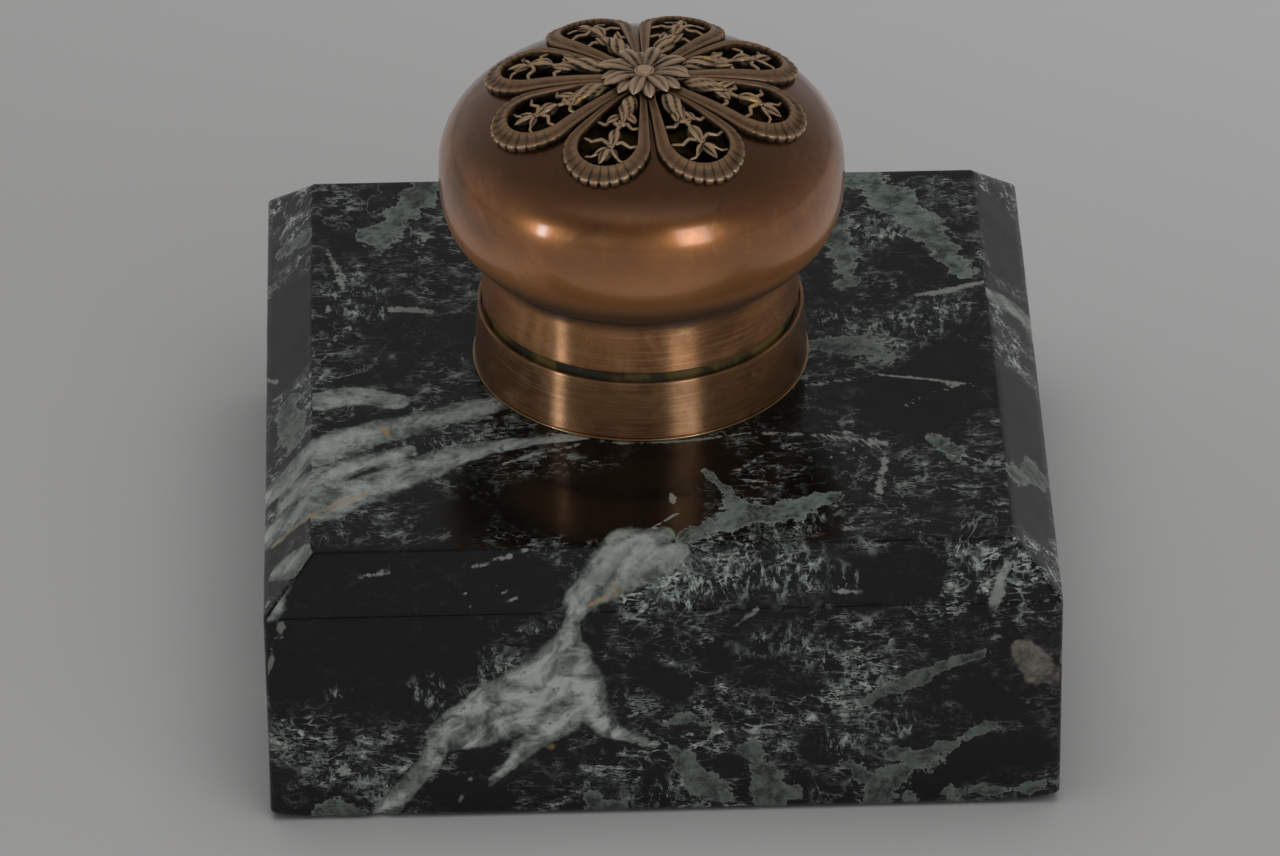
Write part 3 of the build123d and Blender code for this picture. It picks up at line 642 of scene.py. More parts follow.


# ---- marble block -------------------------------------------------------------------------------
# Veins are drawn on the block's faces laid flat. u runs along a side and s runs up it:
# s = 0 at the lower edge of the chamfer, negative on the upright face, positive over the chamfer
# and then, for the front, back across the polished top. Each vein is a chain of (u, s, half width).
VEINS_FRONT = {
    "white": [
        [(-13.6, -0.6, 1.0), (-14.3, -4.0, 1.9), (-16.8, -8.6, 3.6), (-22.5, -13.4, 3.4),
         (-29.5, -17.8, 3.2),
         (-34.0, -22.0, 2.5), (-35.6, -26.6, 1.6), (-38.6, -30.6, 1.6), (-43.2, -36.4, 2.3)],
        [(-13.4, -7.0, 2.3), (-11.8, -11.6, 2.6), (-11.8, -15.8, 2.7), (-10.4, -18.8, 2.2),
         (-7.4, -21.8, 1.7),
         (-4.6, -23.0, 1.1), (-0.8, -24.6, 0.7)],
        [(-12.6, -16.6, 2.8), (-16.8, -20.4, 2.4), (-21.2, -24.2, 2.0), (-23.2, -27.0, 1.1),
         (-26.8, -30.8, 0.5)],
        [(-15.6, -13.0, 4.2), (-21.8, -17.8, 4.2), (-27.2, -20.8, 3.0), (-30.4, -23.0, 1.8)],
        [(-13.6, -0.6, 1.2), (-12.6, 2.2, 2.5), (-9.4, 4.6, 3.6), (-6.6, 7.4, 4.3),
         (-4.5, 10.4, 4.2), (-0.5, 12.6, 2.6)],
        [(-5.0, 6.2, 3.2), (-0.5, 8.2, 2.7), (2.6, 8.9, 1.8)],
        [(-60, 2.5, 3.0), (-57.5, 7, 2.5), (-55, 10.5, 1.5)],
        [(-53, 22.0, 4.8), (-47.9, 25.4, 4.3), (-39.4, 30.3, 4.2), (-32.2, 35.3, 3.1),
         (-26.5, 37.8, 2.1),
         (-19, 39.4, 1.2), (-10, 40.4, 0.7)],
        [(-53, 36.7, 4.2), (-47.9, 40.2, 4.0), (-40.7, 43.8, 3.2), (-33.6, 46.4, 2.8),
         (-26.4, 49.3, 2.6), (-20, 52, 2.2)],
        [(-53, 30.0, 2.6), (-46, 33.5, 2.2), (-38, 37.6, 1.8)],
        [(-53, 52, 2.6), (-46, 53, 3.0), (-40, 51.5, 2.4)],
    ],
    "green": [
        [(1.8, -25.6, 1.9), (4.6, -29.4, 2.0), (7.6, -33.0, 1.7), (9.6, -34.4, 0.8)],
        [(4.6, -29.8, 1.4), (4.0, -33.0, 1.0)],
        [(12.6, -25.8, 2.0), (14.8, -29.6, 2.7), (15.9, -33.6, 3.2), (19.4, -33.4, 1.9)],
        [(42.6, -25.6, 1.5), (38.1, -28.4, 2.4), (33.9, -31.4, 2.2), (32.0, -35.6, 2.4)],
        [(33.7, -26.6, 1.5), (37.6, -28.0, 1.6)],
        [(43.5, -34.0, 1.0), (43.6, -36.8, 1.2)],
        [(27, -28, 1.2), (30, -31, 1.4)],
        [(-53, -35.8, 2.2), (-46, -35.4, 2.0)],
        [(-11, -34, 2.0), (-8, -36.5, 2.2)],
        [(0.6, -20.5, 0.9), (2.4, -19.4, 1.0), (7.4, -20.6, 1.4)],
        [(30, -18, 0.9), (32.5, -15.4, 1.0), (36.4, -14.2, 1.5), (41.7, -11.2, 1.2),
         (48, -8.6, 0.6)],
        [(3.3, 11.8, 1.6), (8, 15, 2.5), (13, 18, 3.4), (18, 18, 3.4), (24, 21, 2.0),
         (27, 22.5, 1.0)],
        [(7.3, 29.8, 0.8), (10, 25, 1.2), (11.5, 20.8, 2.0)],
        [(32, 117, 3.6), (37.3, 110, 3.6), (43.3, 101, 3.4), (47.3, 91, 2.8), (50, 84, 1.6)],
        [(30.3, 100, 2.4), (31.3, 83, 2.2)],
        [(25, 65, 2.6), (33, 63.8, 3.4), (36, 61, 2.2)],
        [(42, 38, 1.2), (45.5, 33, 1.6)],
        [(-34, 115, 3.0), (-38, 107, 3.0), (-43, 99, 3.2)],
        [(44.5, -25, 0.8), (49, -22, 0.9)],
        [(37.5, -36.5, 1.0), (38, -33, 0.8)],
        [(42, -34.6, 0.6), (48, -34.0, 1.0), (57, -33.8, 1.2)],
    ],
    "lace": [
        [(0, 2, 3.0), (8, 5, 4.6), (16, 6, 4.8), (22, 6, 4.2), (28, 4, 2.4)],
        [(45, 8, 3.0), (51, 4, 2.6), (56, 7, 2.0)],
        [(24, -10, 4.5), (29, -13, 4.0), (35, -15, 3.0)],
        [(-26, -7, 2.4), (-25.4, -11, 2.8)],
        [(-36, -12.5, 2.6), (-34, -17, 2.6), (-31, -14, 2.2)],
        [(-21, -2.6, 1.0), (-16, -2.0, 1.0)],
        [(-49, -13.5, 2.6)],
        [(14, -6, 3.5), (20, -5, 3.5)],
        [(-44, -31, 4.0), (-50, -27, 4.0)],
        [(27, -24, 4.0), (36, -22, 4.0)],
        [(3, -33, 4.0), (-3, -34, 4.0)],
        [(-38, 36, 5.0), (-28, 40, 4.0)],
        [(10, 14, 5.0), (22, 16, 5.0)],
        [(28, 72, 5.0), (38, 66, 6.0), (46, 74, 5.0)],
        [(-48, 88, 5.0), (-44, 78, 5.0)],
        [(36, 98, 6.0)],
    ],
    "thin": [
        [(-57.2, -0.5, 0.5), (-58.5, -5, 0.6), (-59.8, -10, 0.5)],
        [(51.6, 6.4, 1.1), (49.6, 0.4, 1.1), (48.6, -4, 0.8), (49.8, -6.0, 0.6)],
        [(-29, -29, 0.5), (-31.5, -34, 0.6), (-32.5, -37, 0.5)],
        [(14, 0, 0.6), (9.5, -3.2, 0.5), (4, -3.0, 0.4)],
        [(-29, 7.2, 0.5), (-24, 8.8, 0.5), (-20, 9.9, 0.6)],
        [(-46, 6.2, 0.5), (-41, 7.0, 0.6)],
        [(-25, 5, 0.4), (-22.5, 2.5, 0.4)],
        [(-29.6, 3.4, 0.4), (-29.4, 1.5, 0.6)],
        [(26, 2.6, 0.5), (29.5, 2.6, 0.5)],
        [(52.3, 82, 0.9), (46, 79.5, 1.0), (41.3, 78.8, 0.8)],
        [(34.3, 33, 0.8), (33.3, 23, 0.8)],
        [(26.3, 33, 0.8), (31, 36, 0.6), (35, 36.5, 0.6)],
        [(-16, 41, 0.5), (-6, 38.6, 0.6), (4, 38.5, 0.6), (14, 40.4, 0.6), (24, 39.4, 0.6),
         (35.3, 37, 0.6)],
        [(17.3, 52, 0.5), (35, 56, 0.5), (49, 53, 0.5)],
        [(12, 30, 0.5), (16, 34, 0.5)],
        [(-46, 74, 0.6), (-50, 68, 0.7)],
        [(-50, 95, 0.7), (-48, 85, 0.7), (-51, 76, 0.6)],
        [(-40, 78, 0.9), (-34, 77, 1.0)],
        [(-24, 33, 0.5), (-18, 36, 0.5), (-12, 38, 0.5)],
        [(38, 47, 0.5), (45, 52, 0.6), (52, 50, 0.5)],
        [(44, 33.5, 0.6), (48, 32, 0.8), (53, 29.6, 0.6)],
        [(-2, 14, 0.5), (3, 19, 0.4), (1, 26, 0.4)],
    ],
    "ochre": [
        [(-53, 19.6, 1.3), (-48.3, 23.6, 0.9), (-43, 26.8, 0.6)],
        [(-41.5, 44.0, 1.1), (-41, 41.5, 0.9)],
        [(-17.2, -24.2, 1.2)],
        [(-11.8, 0.9, 0.5), (-8.6, 2.4, 0.6), (-5.3, 4.0, 0.5)],
        [(-11.4, 3.6, 0.4), (-7.4, 4.6, 0.5)],
    ],
    "beige": [
        [(54.2, -9, 2.6), (56.8, -12, 3.0), (58.6, -13.5, 2.0)],
        [(53, -6.8, 0.8), (54, -9, 1.2)],
    ],
    "calm": [
        [(-56, -7, 10), (-42, -8, 11), (-32, -5, 7)],
        [(-53, 5, 7), (-36, 4, 8), (-20, 5, 5)],
        [(30, 3.5, 5), (38, 5, 5)],
        [(39, -31, 5), (46, -29, 4)],
        [(-1.5, -30.0, 2.6), (-1.0, -34.0, 2.6)],
        [(9.6, -28.6, 2.6)],
        [(23.5, -25.6, 3.6)],
        [(29.4, -28.6, 1.8)],
        [(39.8, -33.4, 3.0)],
        [(33.0, -16.6, 1.8)],
        [(46, -27.5, 3.4), (56, -27, 3.4)],
        [(46, -15.5, 3.0), (52, -19, 2.6)],
        [(2, -14, 3.0), (-4, -10, 2.4)],
        [(-30, -26.5, 2.2), (-27, -26, 2.2)],
        [(-33, -32, 3.0), (-26, -34, 3.0)],
        [(8, -9, 2.4)],
        [(-18, 22, 8), (0, 20, 8)],
        [(-30, 20, 5)],
        [(40, 48, 9), (46, 60, 7)],
        [(-6, 22, 7), (4, 34, 6)],
        [(-20, 70, 10), (0, 80, 14)],
    ],
}
VEINS_LEFT = {
    "white": [
        [(-25, 11, 3.6), (-26.6, 5.6, 3.6), (-27.4, 0.5, 3.0), (-32, -6, 2.4)],
        [(-33, 11, 2.8), (-33, 4, 2.6)],
        [(-40, 11, 4.0), (-39, 5, 4.0), (-38, 0, 3.4), (-34, -8, 3.6), (-29, -17, 4.8),
         (-24, -27, 4.0), (-26, -38, 2.6)],
        [(-29, -17, 3.0), (-18, -21, 2.0), (-6, -22, 1.4), (5, -27, 0.8)],
        [(-53, 9, 3.4), (-50, 3, 2.4)],
    ],
    "green": [
        [(-18, 7, 3.4), (-12, 5.5, 3.4), (-6, 5, 2.4)],
        [(14, -30, 3.0), (22, -34, 3.4)],
        [(30, -8, 1.2), (41, -13, 2.2), (50, -14, 1.2)],
        [(38, 9, 2.0), (40, 3, 1.6)],
    ],
    "lace": [[(-8, -8, 7), (10, -12, 8), (26, -20, 8)], [(44, -28, 7)], [(-50, -24, 6)]],
    "thin": [[(2, 3, 0.6), (12, -4, 0.6), (26, -5, 0.7)], [(50, -1, 0.5), (44, -22, 0.6),
    (46, -37, 0.6)]],
    "ochre": [[(-42.5, 10, 0.9), (-42, 2, 0.8)]],
    "beige": [],
    "calm": [[(4, 5, 6), (24, 5, 6)], [(30, -30, 6)], [(-10, -31, 5)]],
}
VEINS_RIGHT = {
    "white": [
        [(16, 11, 1.6), (18, 3, 2.4), (14, -6, 3.6), (6, -14, 4.8), (-4, -20, 3.8),
         (-12, -29, 2.4), (-16, -38, 2.0)],
        [(6, -14, 3.0), (18, -18, 1.8), (29, -27, 1.2)],
    ],
    "green": [
        [(-52, -33, 3.0), (-44, -28, 2.6), (-36, -25, 1.4)],
        [(36, -6, 2.6), (44, -10, 3.4), (52, -9, 2.0)],
        [(34, -33, 3.0), (42, -36, 2.6)],
        [(-34, 8, 2.6), (-28, 3, 2.6)],
    ],
    "lace": [[(-40, -8, 8), (-24, -12, 8)], [(30, -24, 8)], [(48, -24, 6)]],
    "thin": [[(-52, 2, 0.6), (-44, -4, 0.8), (-30, -5, 0.6)], [(50, 3, 0.6), (42, -18, 0.6)]],
    "ochre": [[(3, -15, 0.9)]],
    "beige": [[(-58.8, -10, 1.8), (-56.5, -13, 1.8)]],
    "calm": [[(-8, -5, 5), (-20, -30, 6)], [(30, 5, 5), (44, 5, 5)], [(-44, 6, 5), (-8, 6, 6)]],
}
VEINS_BACK = {
    "white": [
        [(-37, 11, 3.0), (-34, 4, 2.6), (-36, -4, 3.2), (-30, -12, 5.2), (-22, -20, 5.6),
         (-15, -29, 3.4), (-14, -38, 2.4)],
        [(-22, -20, 3.4), (-8, -17, 2.0), (6, -19, 1.4), (18, -25, 0.9)],
    ],
    "green": [
        [(10, -31, 3.0), (18, -35, 3.0)],
        [(30, 9, 2.8), (34, 3, 2.4), (41, -4, 1.8), (50, -8, 1.2)],
        [(-54, -14, 2.6), (-48, -18, 2.4)],
    ],
    "lace": [[(8, -8, 8), (24, -12, 8), (40, -20, 8)], [(-46, -30, 7)]],
    "thin": [[(-56, 3, 0.6), (-50, -6, 0.6), (-52, -12, 0.6)], [(0, 4, 0.6), (10, -2, 0.7),
    (22, -3, 0.6)]],
    "ochre": [[(-27, -15, 1.1)]],
    "beige": [],
    "calm": [[(-8, 5, 6), (10, 5, 6)], [(34, -33, 6)], [(-4, -30, 6)]],
}
# Chips out of the edges: the place of each and its size. The first few show fresh stone.
PALE_CHIPS = 4
EDGE_CHIPS = [
    ((-43.2, -59.6, 0.9), 2.0), ((-37.9, -59.7, 0.7), 1.2), ((-51.0, -59.5, 0.8), 0.9),
    ((52.0, -59.6, 0.9), 1.1),
    ((-13.0, -59.8, 36.9), 0.8), ((31.5, -59.8, 36.9), 0.9), ((57.6, -52.9, 38.6), 0.9),
    ((-59.6, -58.8, 30.0), 0.8),
    ((-52.6, -52.2, 44.1), 0.9), ((59.7, 14.0, 36.8), 1.0), ((-59.7, 22.0, 0.8), 1.3),
    ((20.0, 59.7, 0.8), 1.4),
    ((-22.0, 59.8, 36.9), 0.9), ((59.6, 40.0, 0.9), 1.2),
]


def square_ring(half, corner, per_side=76, per_corner=6):
    """Points of a rounded square, anticlockwise from the middle of its right side."""
    ring = []
    straight = half - corner
    for turn in range(4):
        a = turn * math.pi / 2
        side = Matrix.Rotation(a, 2)
        for k in range(per_side):
            ring.append(side @ Vector((half, straight * (2 * k / per_side - 1))))
        for k in range(per_corner):
            b = (k / per_corner) * math.pi / 2
            x, y = straight + corner * math.cos(b), straight + corner * math.sin(b)
            ring.append(side @ Vector((x, y)))
    return ring


def chain_field(u, s, chains):
    """1 on the middle line of the nearest chain, 0 at its edge and down to -1 outside."""
    field = np.full(len(u), -1.0)
    for chain in chains:
        ends = list(zip(chain, chain[1:])) or [(chain[0], chain[0])]
        for (u0, s0, w0), (u1, s1, w1) in ends:
            du, ds = u1 - u0, s1 - s0
            along = ((u - u0) * du + (s - s0) * ds) / max(du * du + ds * ds, 1e-9)
            along = np.clip(along, 0, 1)
            far = np.hypot(u - u0 - along * du, s - s0 - along * ds)
            field = np.maximum(field, 1 - far / (w0 + along * (w1 - w0)))
    return field


def paint_veins(piece, flat):
    """Stores each kind of vein as a field on the block. flat holds its points before wear."""
    x, y, z = flat.T / MM
    edge = HALF_SIDE / MM
    shoulder = (BLOCK_TOP - CHAMFER) / MM
    slope = math.hypot(CHAMFER, CHAMFER) / MM
    rise = np.where(z < shoulder, z - shoulder, (z - shoulder) * math.sqrt(2))
    on_top = z > BLOCK_TOP / MM - 0.05
    sideways, forwards = np.abs(x) > np.abs(y), y < 0
    unrolled = np.where(on_top, slope + y + edge - CHAMFER / MM, rise)
    faces = {
        "front": (on_top | (~sideways & forwards), x, unrolled),
        "back": (~on_top & ~sideways & ~forwards, -x, rise),
        "left": (~on_top & sideways & (x < 0), y, rise),
        "right": (~on_top & sideways & (x > 0), y, rise),
    }
    drawings = {"front": VEINS_FRONT, "back": VEINS_BACK, "left": VEINS_LEFT, "right": VEINS_RIGHT}
    for kind in VEINS_FRONT:
        field = np.full(len(x), -1.0)
        for side, (here, u, s) in faces.items():
            field[here] = chain_field(u[here], s[here], drawings[side][kind])
        store(piece, kind, field)
    chips = np.zeros(len(x))
    for (cx, cy, cz), size in EDGE_CHIPS[:PALE_CHIPS]:
        away = np.sqrt((x - cx) ** 2 + (y - cy) ** 2 + ((z - cz) * 2) ** 2)
        chips = np.maximum(chips, 1 - away / size)
    store(piece, "chip", chips)


def marble_block(material):
    edge, low = 0.35 * MM, BLOCK_LOW.z
    shoulder = BLOCK_TOP - CHAMFER
    section = [
        (FELT_EDGE, FELT_HIGH.z, 0.0), (FELT_EDGE, low, 0.1 * MM), (HALF_SIDE, low, 1.1 * MM),
        (HALF_SIDE, shoulder, edge), (HALF_SIDE - CHAMFER, BLOCK_TOP, edge),
    ]
    path = rounded_path(section + [(HALF_SIDE - 2 * CHAMFER, BLOCK_TOP, 0.0)], 4)
    path = finer(path, 1.15 * MM, closed=False)
    rings = []
    for half, z in path:
        corner = 1.0 * MM if half > HALF_SIDE - CHAMFER else 0.6 * MM
        rings.append([(p.x, p.y, z) for p in square_ring(half, corner)])
    inner = square_ring(HALF_SIDE - 2 * CHAMFER, 0.6 * MM)
    axis = Vector(AXIS)
    circle = [axis + (p - axis).normalized() * (WELL_RADIUS + 0.4 * MM) for p in inner]
    steps = 30
    for k in range(1, steps + 1):
        s = k / steps
        rings.append([(*p.lerp(c, s), BLOCK_TOP) for p, c in zip(inner, circle)])
    well = [(WELL_RADIUS + 0.12 * MM, BLOCK_TOP - 0.12 * MM), (WELL_RADIUS, BLOCK_TOP - 0.4 * MM)]
    well += [(WELL_RADIUS, BLOCK_TOP + (WELL_FLOOR - BLOCK_TOP) * k / 8) for k in range(1, 9)]
    well.append((4 * MM, WELL_FLOOR))
    for radius, z in well:
        rings.append([(*(axis + (c - axis).normalized() * radius), z) for c in circle])

    flat = np.array([p for ring in rings for p in ring])
    faces = strips(len(rings), len(rings[0]))

    worn = flat.copy()
    outer = np.maximum(np.abs(flat[:, 0]), np.abs(flat[:, 1])) > HALF_SIDE - 2 * CHAMFER
    for i in np.flatnonzero(outer & (flat[:, 2] > low + 0.1 * MM)):
        place = Vector(flat[i])
        sway = noise.noise_vector(place * 28) * 0.16 * MM
        sway += noise.noise_vector(place * 170) * 0.05 * MM
        inwards = Vector((-place.x, -place.y, 0)).normalized()
        push = min(0.0, sway.dot(inwards)) * -1
        worn[i, :2] += np.array(inwards[:2]) * push
    for (cx, cy, cz), size in EDGE_CHIPS:
        away = np.linalg.norm(flat - np.array((cx, cy, cz)) * MM, axis=1) / (size * MM)
        depth = np.clip(1 - away, 0, 1) * 0.35 * size * MM
        centre = np.array((0, 0, BLOCK_TOP / 2))
        pull = centre - flat
        worn += pull / np.linalg.norm(pull, axis=1)[:, None] * depth[:, None]
    # The underside is worn up a little at its four corners.
    nearer = np.minimum(np.abs(flat[:, 0]), np.abs(flat[:, 1]))
    near_corner = np.clip((nearer - 52 * MM) / (8 * MM), 0, 1)
    lift = near_corner ** 1.6 * np.clip(1 - (flat[:, 2] - low) / (5 * MM), 0, 1) ** 2
    lift *= np.where(flat[:, 0] > 0, 1.5, 0.9) * MM
    lift[np.maximum(np.abs(flat[:, 0]), np.abs(flat[:, 1])) < FELT_EDGE + 1 * MM] = 0
    worn[:, 2] += lift

    piece = mesh_piece("marble_block", worn, faces, material, "base")
    paint_veins(piece, flat)
    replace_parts(piece, "marble_base")
    return piece


def felt_sheet(material):
    """The felt under the marble, a little uneven along its cut edge."""
    half = FELT_EDGE - 0.2 * MM
    low, high = FELT_LOW.z, FELT_HIGH.z
    heights = [
        (0.96, low), (0.996, low), (1.0, low + 0.2 * MM),
        (1.0, high - 0.2 * MM), (0.996, high - 0.05 * MM), (0.96, high - 0.05 * MM),
    ]
    outline = square_ring(half, 6 * MM, 40, 10)
    points = []
    for share, z in heights:
        for p in outline:
            fray = 1 - 0.002 * (1 + noise.noise(Vector((p.x * 700, p.y * 700, 0))))
            points.append((p.x * share * fray, p.y * share * fray, z))
    faces = strips(len(heights), len(outline))
    piece = mesh_piece("felt_sheet", points, faces, material, "base")
    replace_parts(piece, "felt_pad")
    return piece


# ---- collar, pot and lid ------------------------------------------------------------------------
def foot_plate(material):
    bore, spigot = WELL_RADIUS, COLLAR_BORE - 0.05 * MM
    lip = (PLATE_HIGH.x - PLATE_LOW.x) / 2
    step = TUBE_LOW.z
    path = rounded_path([
        (bore, PLATE_LOW.z, 0.1 * MM), (lip, PLATE_LOW.z, 0.12 * MM), (lip, step, 0.2 * MM),
        (spigot, step, 0.0), (spigot, PLATE_HIGH.z, 0.1 * MM), (bore, PLATE_HIGH.z, 0.2 * MM),
    ])
    piece = lathe("foot_plate", path, material, "base", waver=0.06 * MM)
    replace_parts(piece, "collar_foot_plate")


def collar(material):
    foot_radius = (TUBE_HIGH.x - TUBE_LOW.x) / 2
    ledge = SLEEVE_LOW.z
    path = rounded_path([
        (COLLAR_BORE, TUBE_LOW.z, 0.1 * MM), (foot_radius, TUBE_LOW.z, 0.15 * MM),
        (RIM_RADIUS, RIM, 0.28 * MM), (RECESS_RADIUS, RIM, 0.16 * MM),
        (RECESS_RADIUS, ledge, 0.1 * MM), (COLLAR_BORE, ledge, 0.2 * MM),
    ])
    path = finer(path, 1.2 * MM)
    piece = lathe("collar", path, material, "base",
                  segments=FINE_SEGMENTS, waver=0.05 * MM)
    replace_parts(piece, "collar_tube")


def neck(sleeve_material, band_material):
    path = rounded_path([
        (SLEEVE_BORE, SLEEVE_LOW.z, 0.2 * MM), (SLEEVE_RADIUS, SLEEVE_LOW.z, 0.15 * MM),
        (SLEEVE_RADIUS, SEAM, 0.0), (SLEEVE_BORE, SEAM, 0.0),
    ])
    inner = lathe("sleeve", finer(path, 1.0 * MM), sleeve_material, "lid",
                  segments=FINE_SEGMENTS)
    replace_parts(inner, "lid_sleeve")
    waist, low = NECK_RADIUS - 0.12 * MM, NECK_LOW.z - NECK_OVERHANG
    tall = SEAM - low
    bore = SLEEVE_RADIUS - 0.02 * MM
    corners = [
        (bore, low, 0.0), (NECK_RADIUS, low, 0.22 * MM), (waist, low + 0.35 * tall, 2 * MM),
        (waist, low + 0.78 * tall, 2 * MM), (waist, SEAM, 0.0), (bore, SEAM, 0.0),
    ]
    path = finer(rounded_path(corners), 1.0 * MM)
    band = lathe("neck_band", path, band_material, "lid",
                 segments=FINE_SEGMENTS, waver=0.05 * MM)
    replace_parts(band, "lid_neck_band")


def dome_height(radius, proud=0.0):
    """Height of the dome's upper half at a distance from its axis."""
    share = min(1.0, radius / (DOME_RADIUS + proud))
    return DOME_EQUATOR + (DOME_RISE + proud) * (1 - share ** RISE_POWER) ** (1 / RISE_POWER)


def dome_section(offset, count):
    """The dome from crown to seam."""
    radius, rise, drop = DOME_RADIUS + offset, DOME_RISE + offset, DOME_DROP + offset
    path = []
    for k in range(count + 1):
        a = math.pi / 2 * (1 - k / count)
        r = radius * max(0.0, math.cos(a)) ** (2 / RISE_POWER)
        path.append((r, DOME_EQUATOR + rise * math.sin(a) ** (2 / RISE_POWER)))
    span = math.asin(((DOME_EQUATOR - SEAM) / drop) ** (DROP_POWER / 2))
    for k in range(1, count // 2 + 1):
        a = span * k / (count // 2)
        r = radius * math.cos(a) ** (2 / DROP_POWER)
        path.append((r, DOME_EQUATOR - drop * math.sin(a) ** (2 / DROP_POWER)))
    return path


def dome(material):
    outer = dome_section(0.0, 56)
    inner = dome_section(-DOME_WALL, 30)
    turn_under = [(outer[-1][0] - 0.25 * MM, SEAM + 0.02 * MM)]
    path = outer + turn_under + inner[::-1]
    piece = lathe("dome", path, material, "lid", segments=DOME_SEGMENTS,
                  closed=False, waver=0.07 * MM, shift=DOME_SHIFT)
    points = vertex_array(piece)
    dx, dy = points[:, 0] - AXIS[0] - DOME_SHIFT - ROSETTE_SHIFT, points[:, 1] - AXIS[1]
    # Dirt and painted shade: a field that is strongest under and just beside each loop, on the
    # outer shell above the equator.
    grime_and_shade = np.zeros(len(points))
    for i in range(LOOPS):
        a = FIRST_LOOP + 2 * math.pi * i / LOOPS
        u, v = dx * math.cos(a) + dy * math.sin(a), dy * math.cos(a) - dx * math.sin(a)
        share = np.clip((u - LOOP_ROOT) / (LOOP_CENTRE - LOOP_ROOT), 0, 1)
        reach = LOOP_ROOT_RADIUS + share * (LOOP_RADIUS - LOOP_ROOT_RADIUS)
        outside = np.hypot(u - LOOP_ROOT - share * (LOOP_CENTRE - LOOP_ROOT), v) - reach
        grime_and_shade = np.maximum(grime_and_shade, np.clip(0.75 - outside / (1.3 * MM), 0, 1))
    inside = np.arange(len(points)) > DOME_SEGMENTS * (len(outer) - 1)
    store(piece, "grime_and_shade", np.where(inside | (points[:, 2] < DOME_EQUATOR), 0, grime_and_shade))
    below_crown = np.clip((DOME_EQUATOR + 12 * MM - points[:, 2]) / (14 * MM), 0, 1)
    store(piece, "warm", np.clip(-dy / DOME_RADIUS, 0, 1) * below_crown)
    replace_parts(piece, "dome_shell")


def ink_pot(material):
    low, seat, top = POT_LOW.z, RING_HIGH.z, POT_HIGH.z
    body, cavity, mouth = POT_RADIUS, POT_CAVITY, POT_MOUTH
    mouth_top = top - POT_FUNNEL
    corners = [
        (0.0, low + 0.4 * MM, 0.0), (body - 3 * MM, low + 0.4 * MM, 0.3 * MM),
        (body - 2.2 * MM, low, 0.4 * MM), (body - 1 * MM, low, 0.5 * MM),
        (body, low + 1.4 * MM, 1.0 * MM), (body, seat, 0.5 * MM),
        (POT_FLANGE, seat, 0.5 * MM), (POT_FLANGE, top, 1.0 * MM),
        (POT_FLANGE - 1.8 * MM, top, 0.9 * MM), (mouth, mouth_top, 1.0 * MM),
        (mouth, mouth_top - 2 * MM, 0.9 * MM), (cavity, seat - 1 * MM, 1.0 * MM),
        (cavity, low + 3 * MM, 2.4 * MM), (0.0, low + 3 * MM, 0.0),
    ]
    path = finer(rounded_path(corners, 6), 1.0 * MM, closed=False)
    piece = lathe("ink_pot_visual", path, material, "pot",
                  closed=False, waver=0.08 * MM)
    points = vertex_array(piece)
    radius = np.hypot(points[:, 0] - AXIS[0], points[:, 1] - AXIS[1])
    inside = (radius < cavity + 0.1 * MM) & (points[:, 2] > low + 2.5 * MM)
    depth = np.clip((mouth_top + 3.0 * MM - points[:, 2]) / (7 * MM), 0, 1)
    store(piece, "ink", np.where(inside, depth, 0))
    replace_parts(piece, "ink_pot")


def seat_ring(material):
    outer = (RING_HIGH.x - RING_LOW.x) / 2
    edge = 0.25 * MM
    path = rounded_path([
        (WELL_RADIUS, RING_LOW.z, edge), (outer, RING_LOW.z, edge),
        (outer, RING_HIGH.z, edge), (WELL_RADIUS, RING_HIGH.z, edge),
    ])
    piece = lathe("seat_washer", path, material, "base", waver=0.12 * MM)
    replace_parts(piece, "pot_seat_ring")


# ---- rosette ------------------------------------------------------------------------------------
def on_dome(x, y, height):
    """A point height above the dome, at a place counted from the rosette's middle."""
    px, py = x + ROSETTE_SHIFT, y
    radius = math.hypot(px, py)
    step = 0.05 * MM
    fall = dome_height(radius + step) - dome_height(max(0.0, radius - step))
    slope = fall / (step + min(step, radius))
    out = Vector((px, py, 0)).normalized() if radius > 1e-7 else Vector((1, 0, 0))
    normal = (Vector((0, 0, 1)) - out * slope).normalized()
    base = Vector((AXIS[0] + DOME_SHIFT + px, AXIS[1] + py, dome_height(radius)))
    return base + normal * height


class Casting:
    """Gathers points, faces and the two fields that the bronze material reads."""

    def __init__(self):
        self.points, self.faces, self.proud, self.edge = [], [], [], []

    def grid(self, rows, closed=False):
        """rows of (point, proud, edge). Neighbouring rows are joined by quads."""
        self.faces += strips(len(rows), len(rows[0]), len(self.points), closed)
        for row in rows:
            for point, proud, edge in row:
                self.points.append(point)
                self.proud.append(proud)
                self.edge.append(edge)

    def make(self, name, material):
        piece = mesh_piece(name, self.points, self.faces, material, "lid")
        store(piece, "proud", self.proud)
        store(piece, "edge", self.edge)
        return piece


def loop_outline(count):
    """A loop's outer edge along +X, from root to root: (point, normal, share of the tip)."""
    root, root_radius, centre, radius = LOOP_ROOT, LOOP_ROOT_RADIUS, LOOP_CENTRE, LOOP_RADIUS
    lean = math.asin((radius - root_radius) / (centre - root))
    line = (centre - root) * math.cos(lean)
    arc = radius * (math.pi + 2 * lean)
    total = 2 * line + arc
    outline = []
    for k in range(count + 1):
        s = total * k / count
        if s < line:
            a = -math.pi / 2 - lean
            start = Vector((root + root_radius * math.cos(a), root_radius * math.sin(a)))
            end = Vector((centre + radius * math.cos(a), radius * math.sin(a)))
            outline.append((start.lerp(end, s / line), a, 0.0))
        elif s <= line + arc:
            a = -math.pi / 2 - lean + (s - line) / radius
            tip = Vector((centre + radius * math.cos(a), radius * math.sin(a)))
            outline.append((tip, a, (s - line) / arc))
        else:
            a = math.pi / 2 + lean
            start = Vector((centre + radius * math.cos(a), radius * math.sin(a)))
            end = Vector((root + root_radius * math.cos(a), root_radius * math.sin(a)))
            outline.append((start.lerp(end, (s - line - arc) / line), a, 0.0))
    return outline


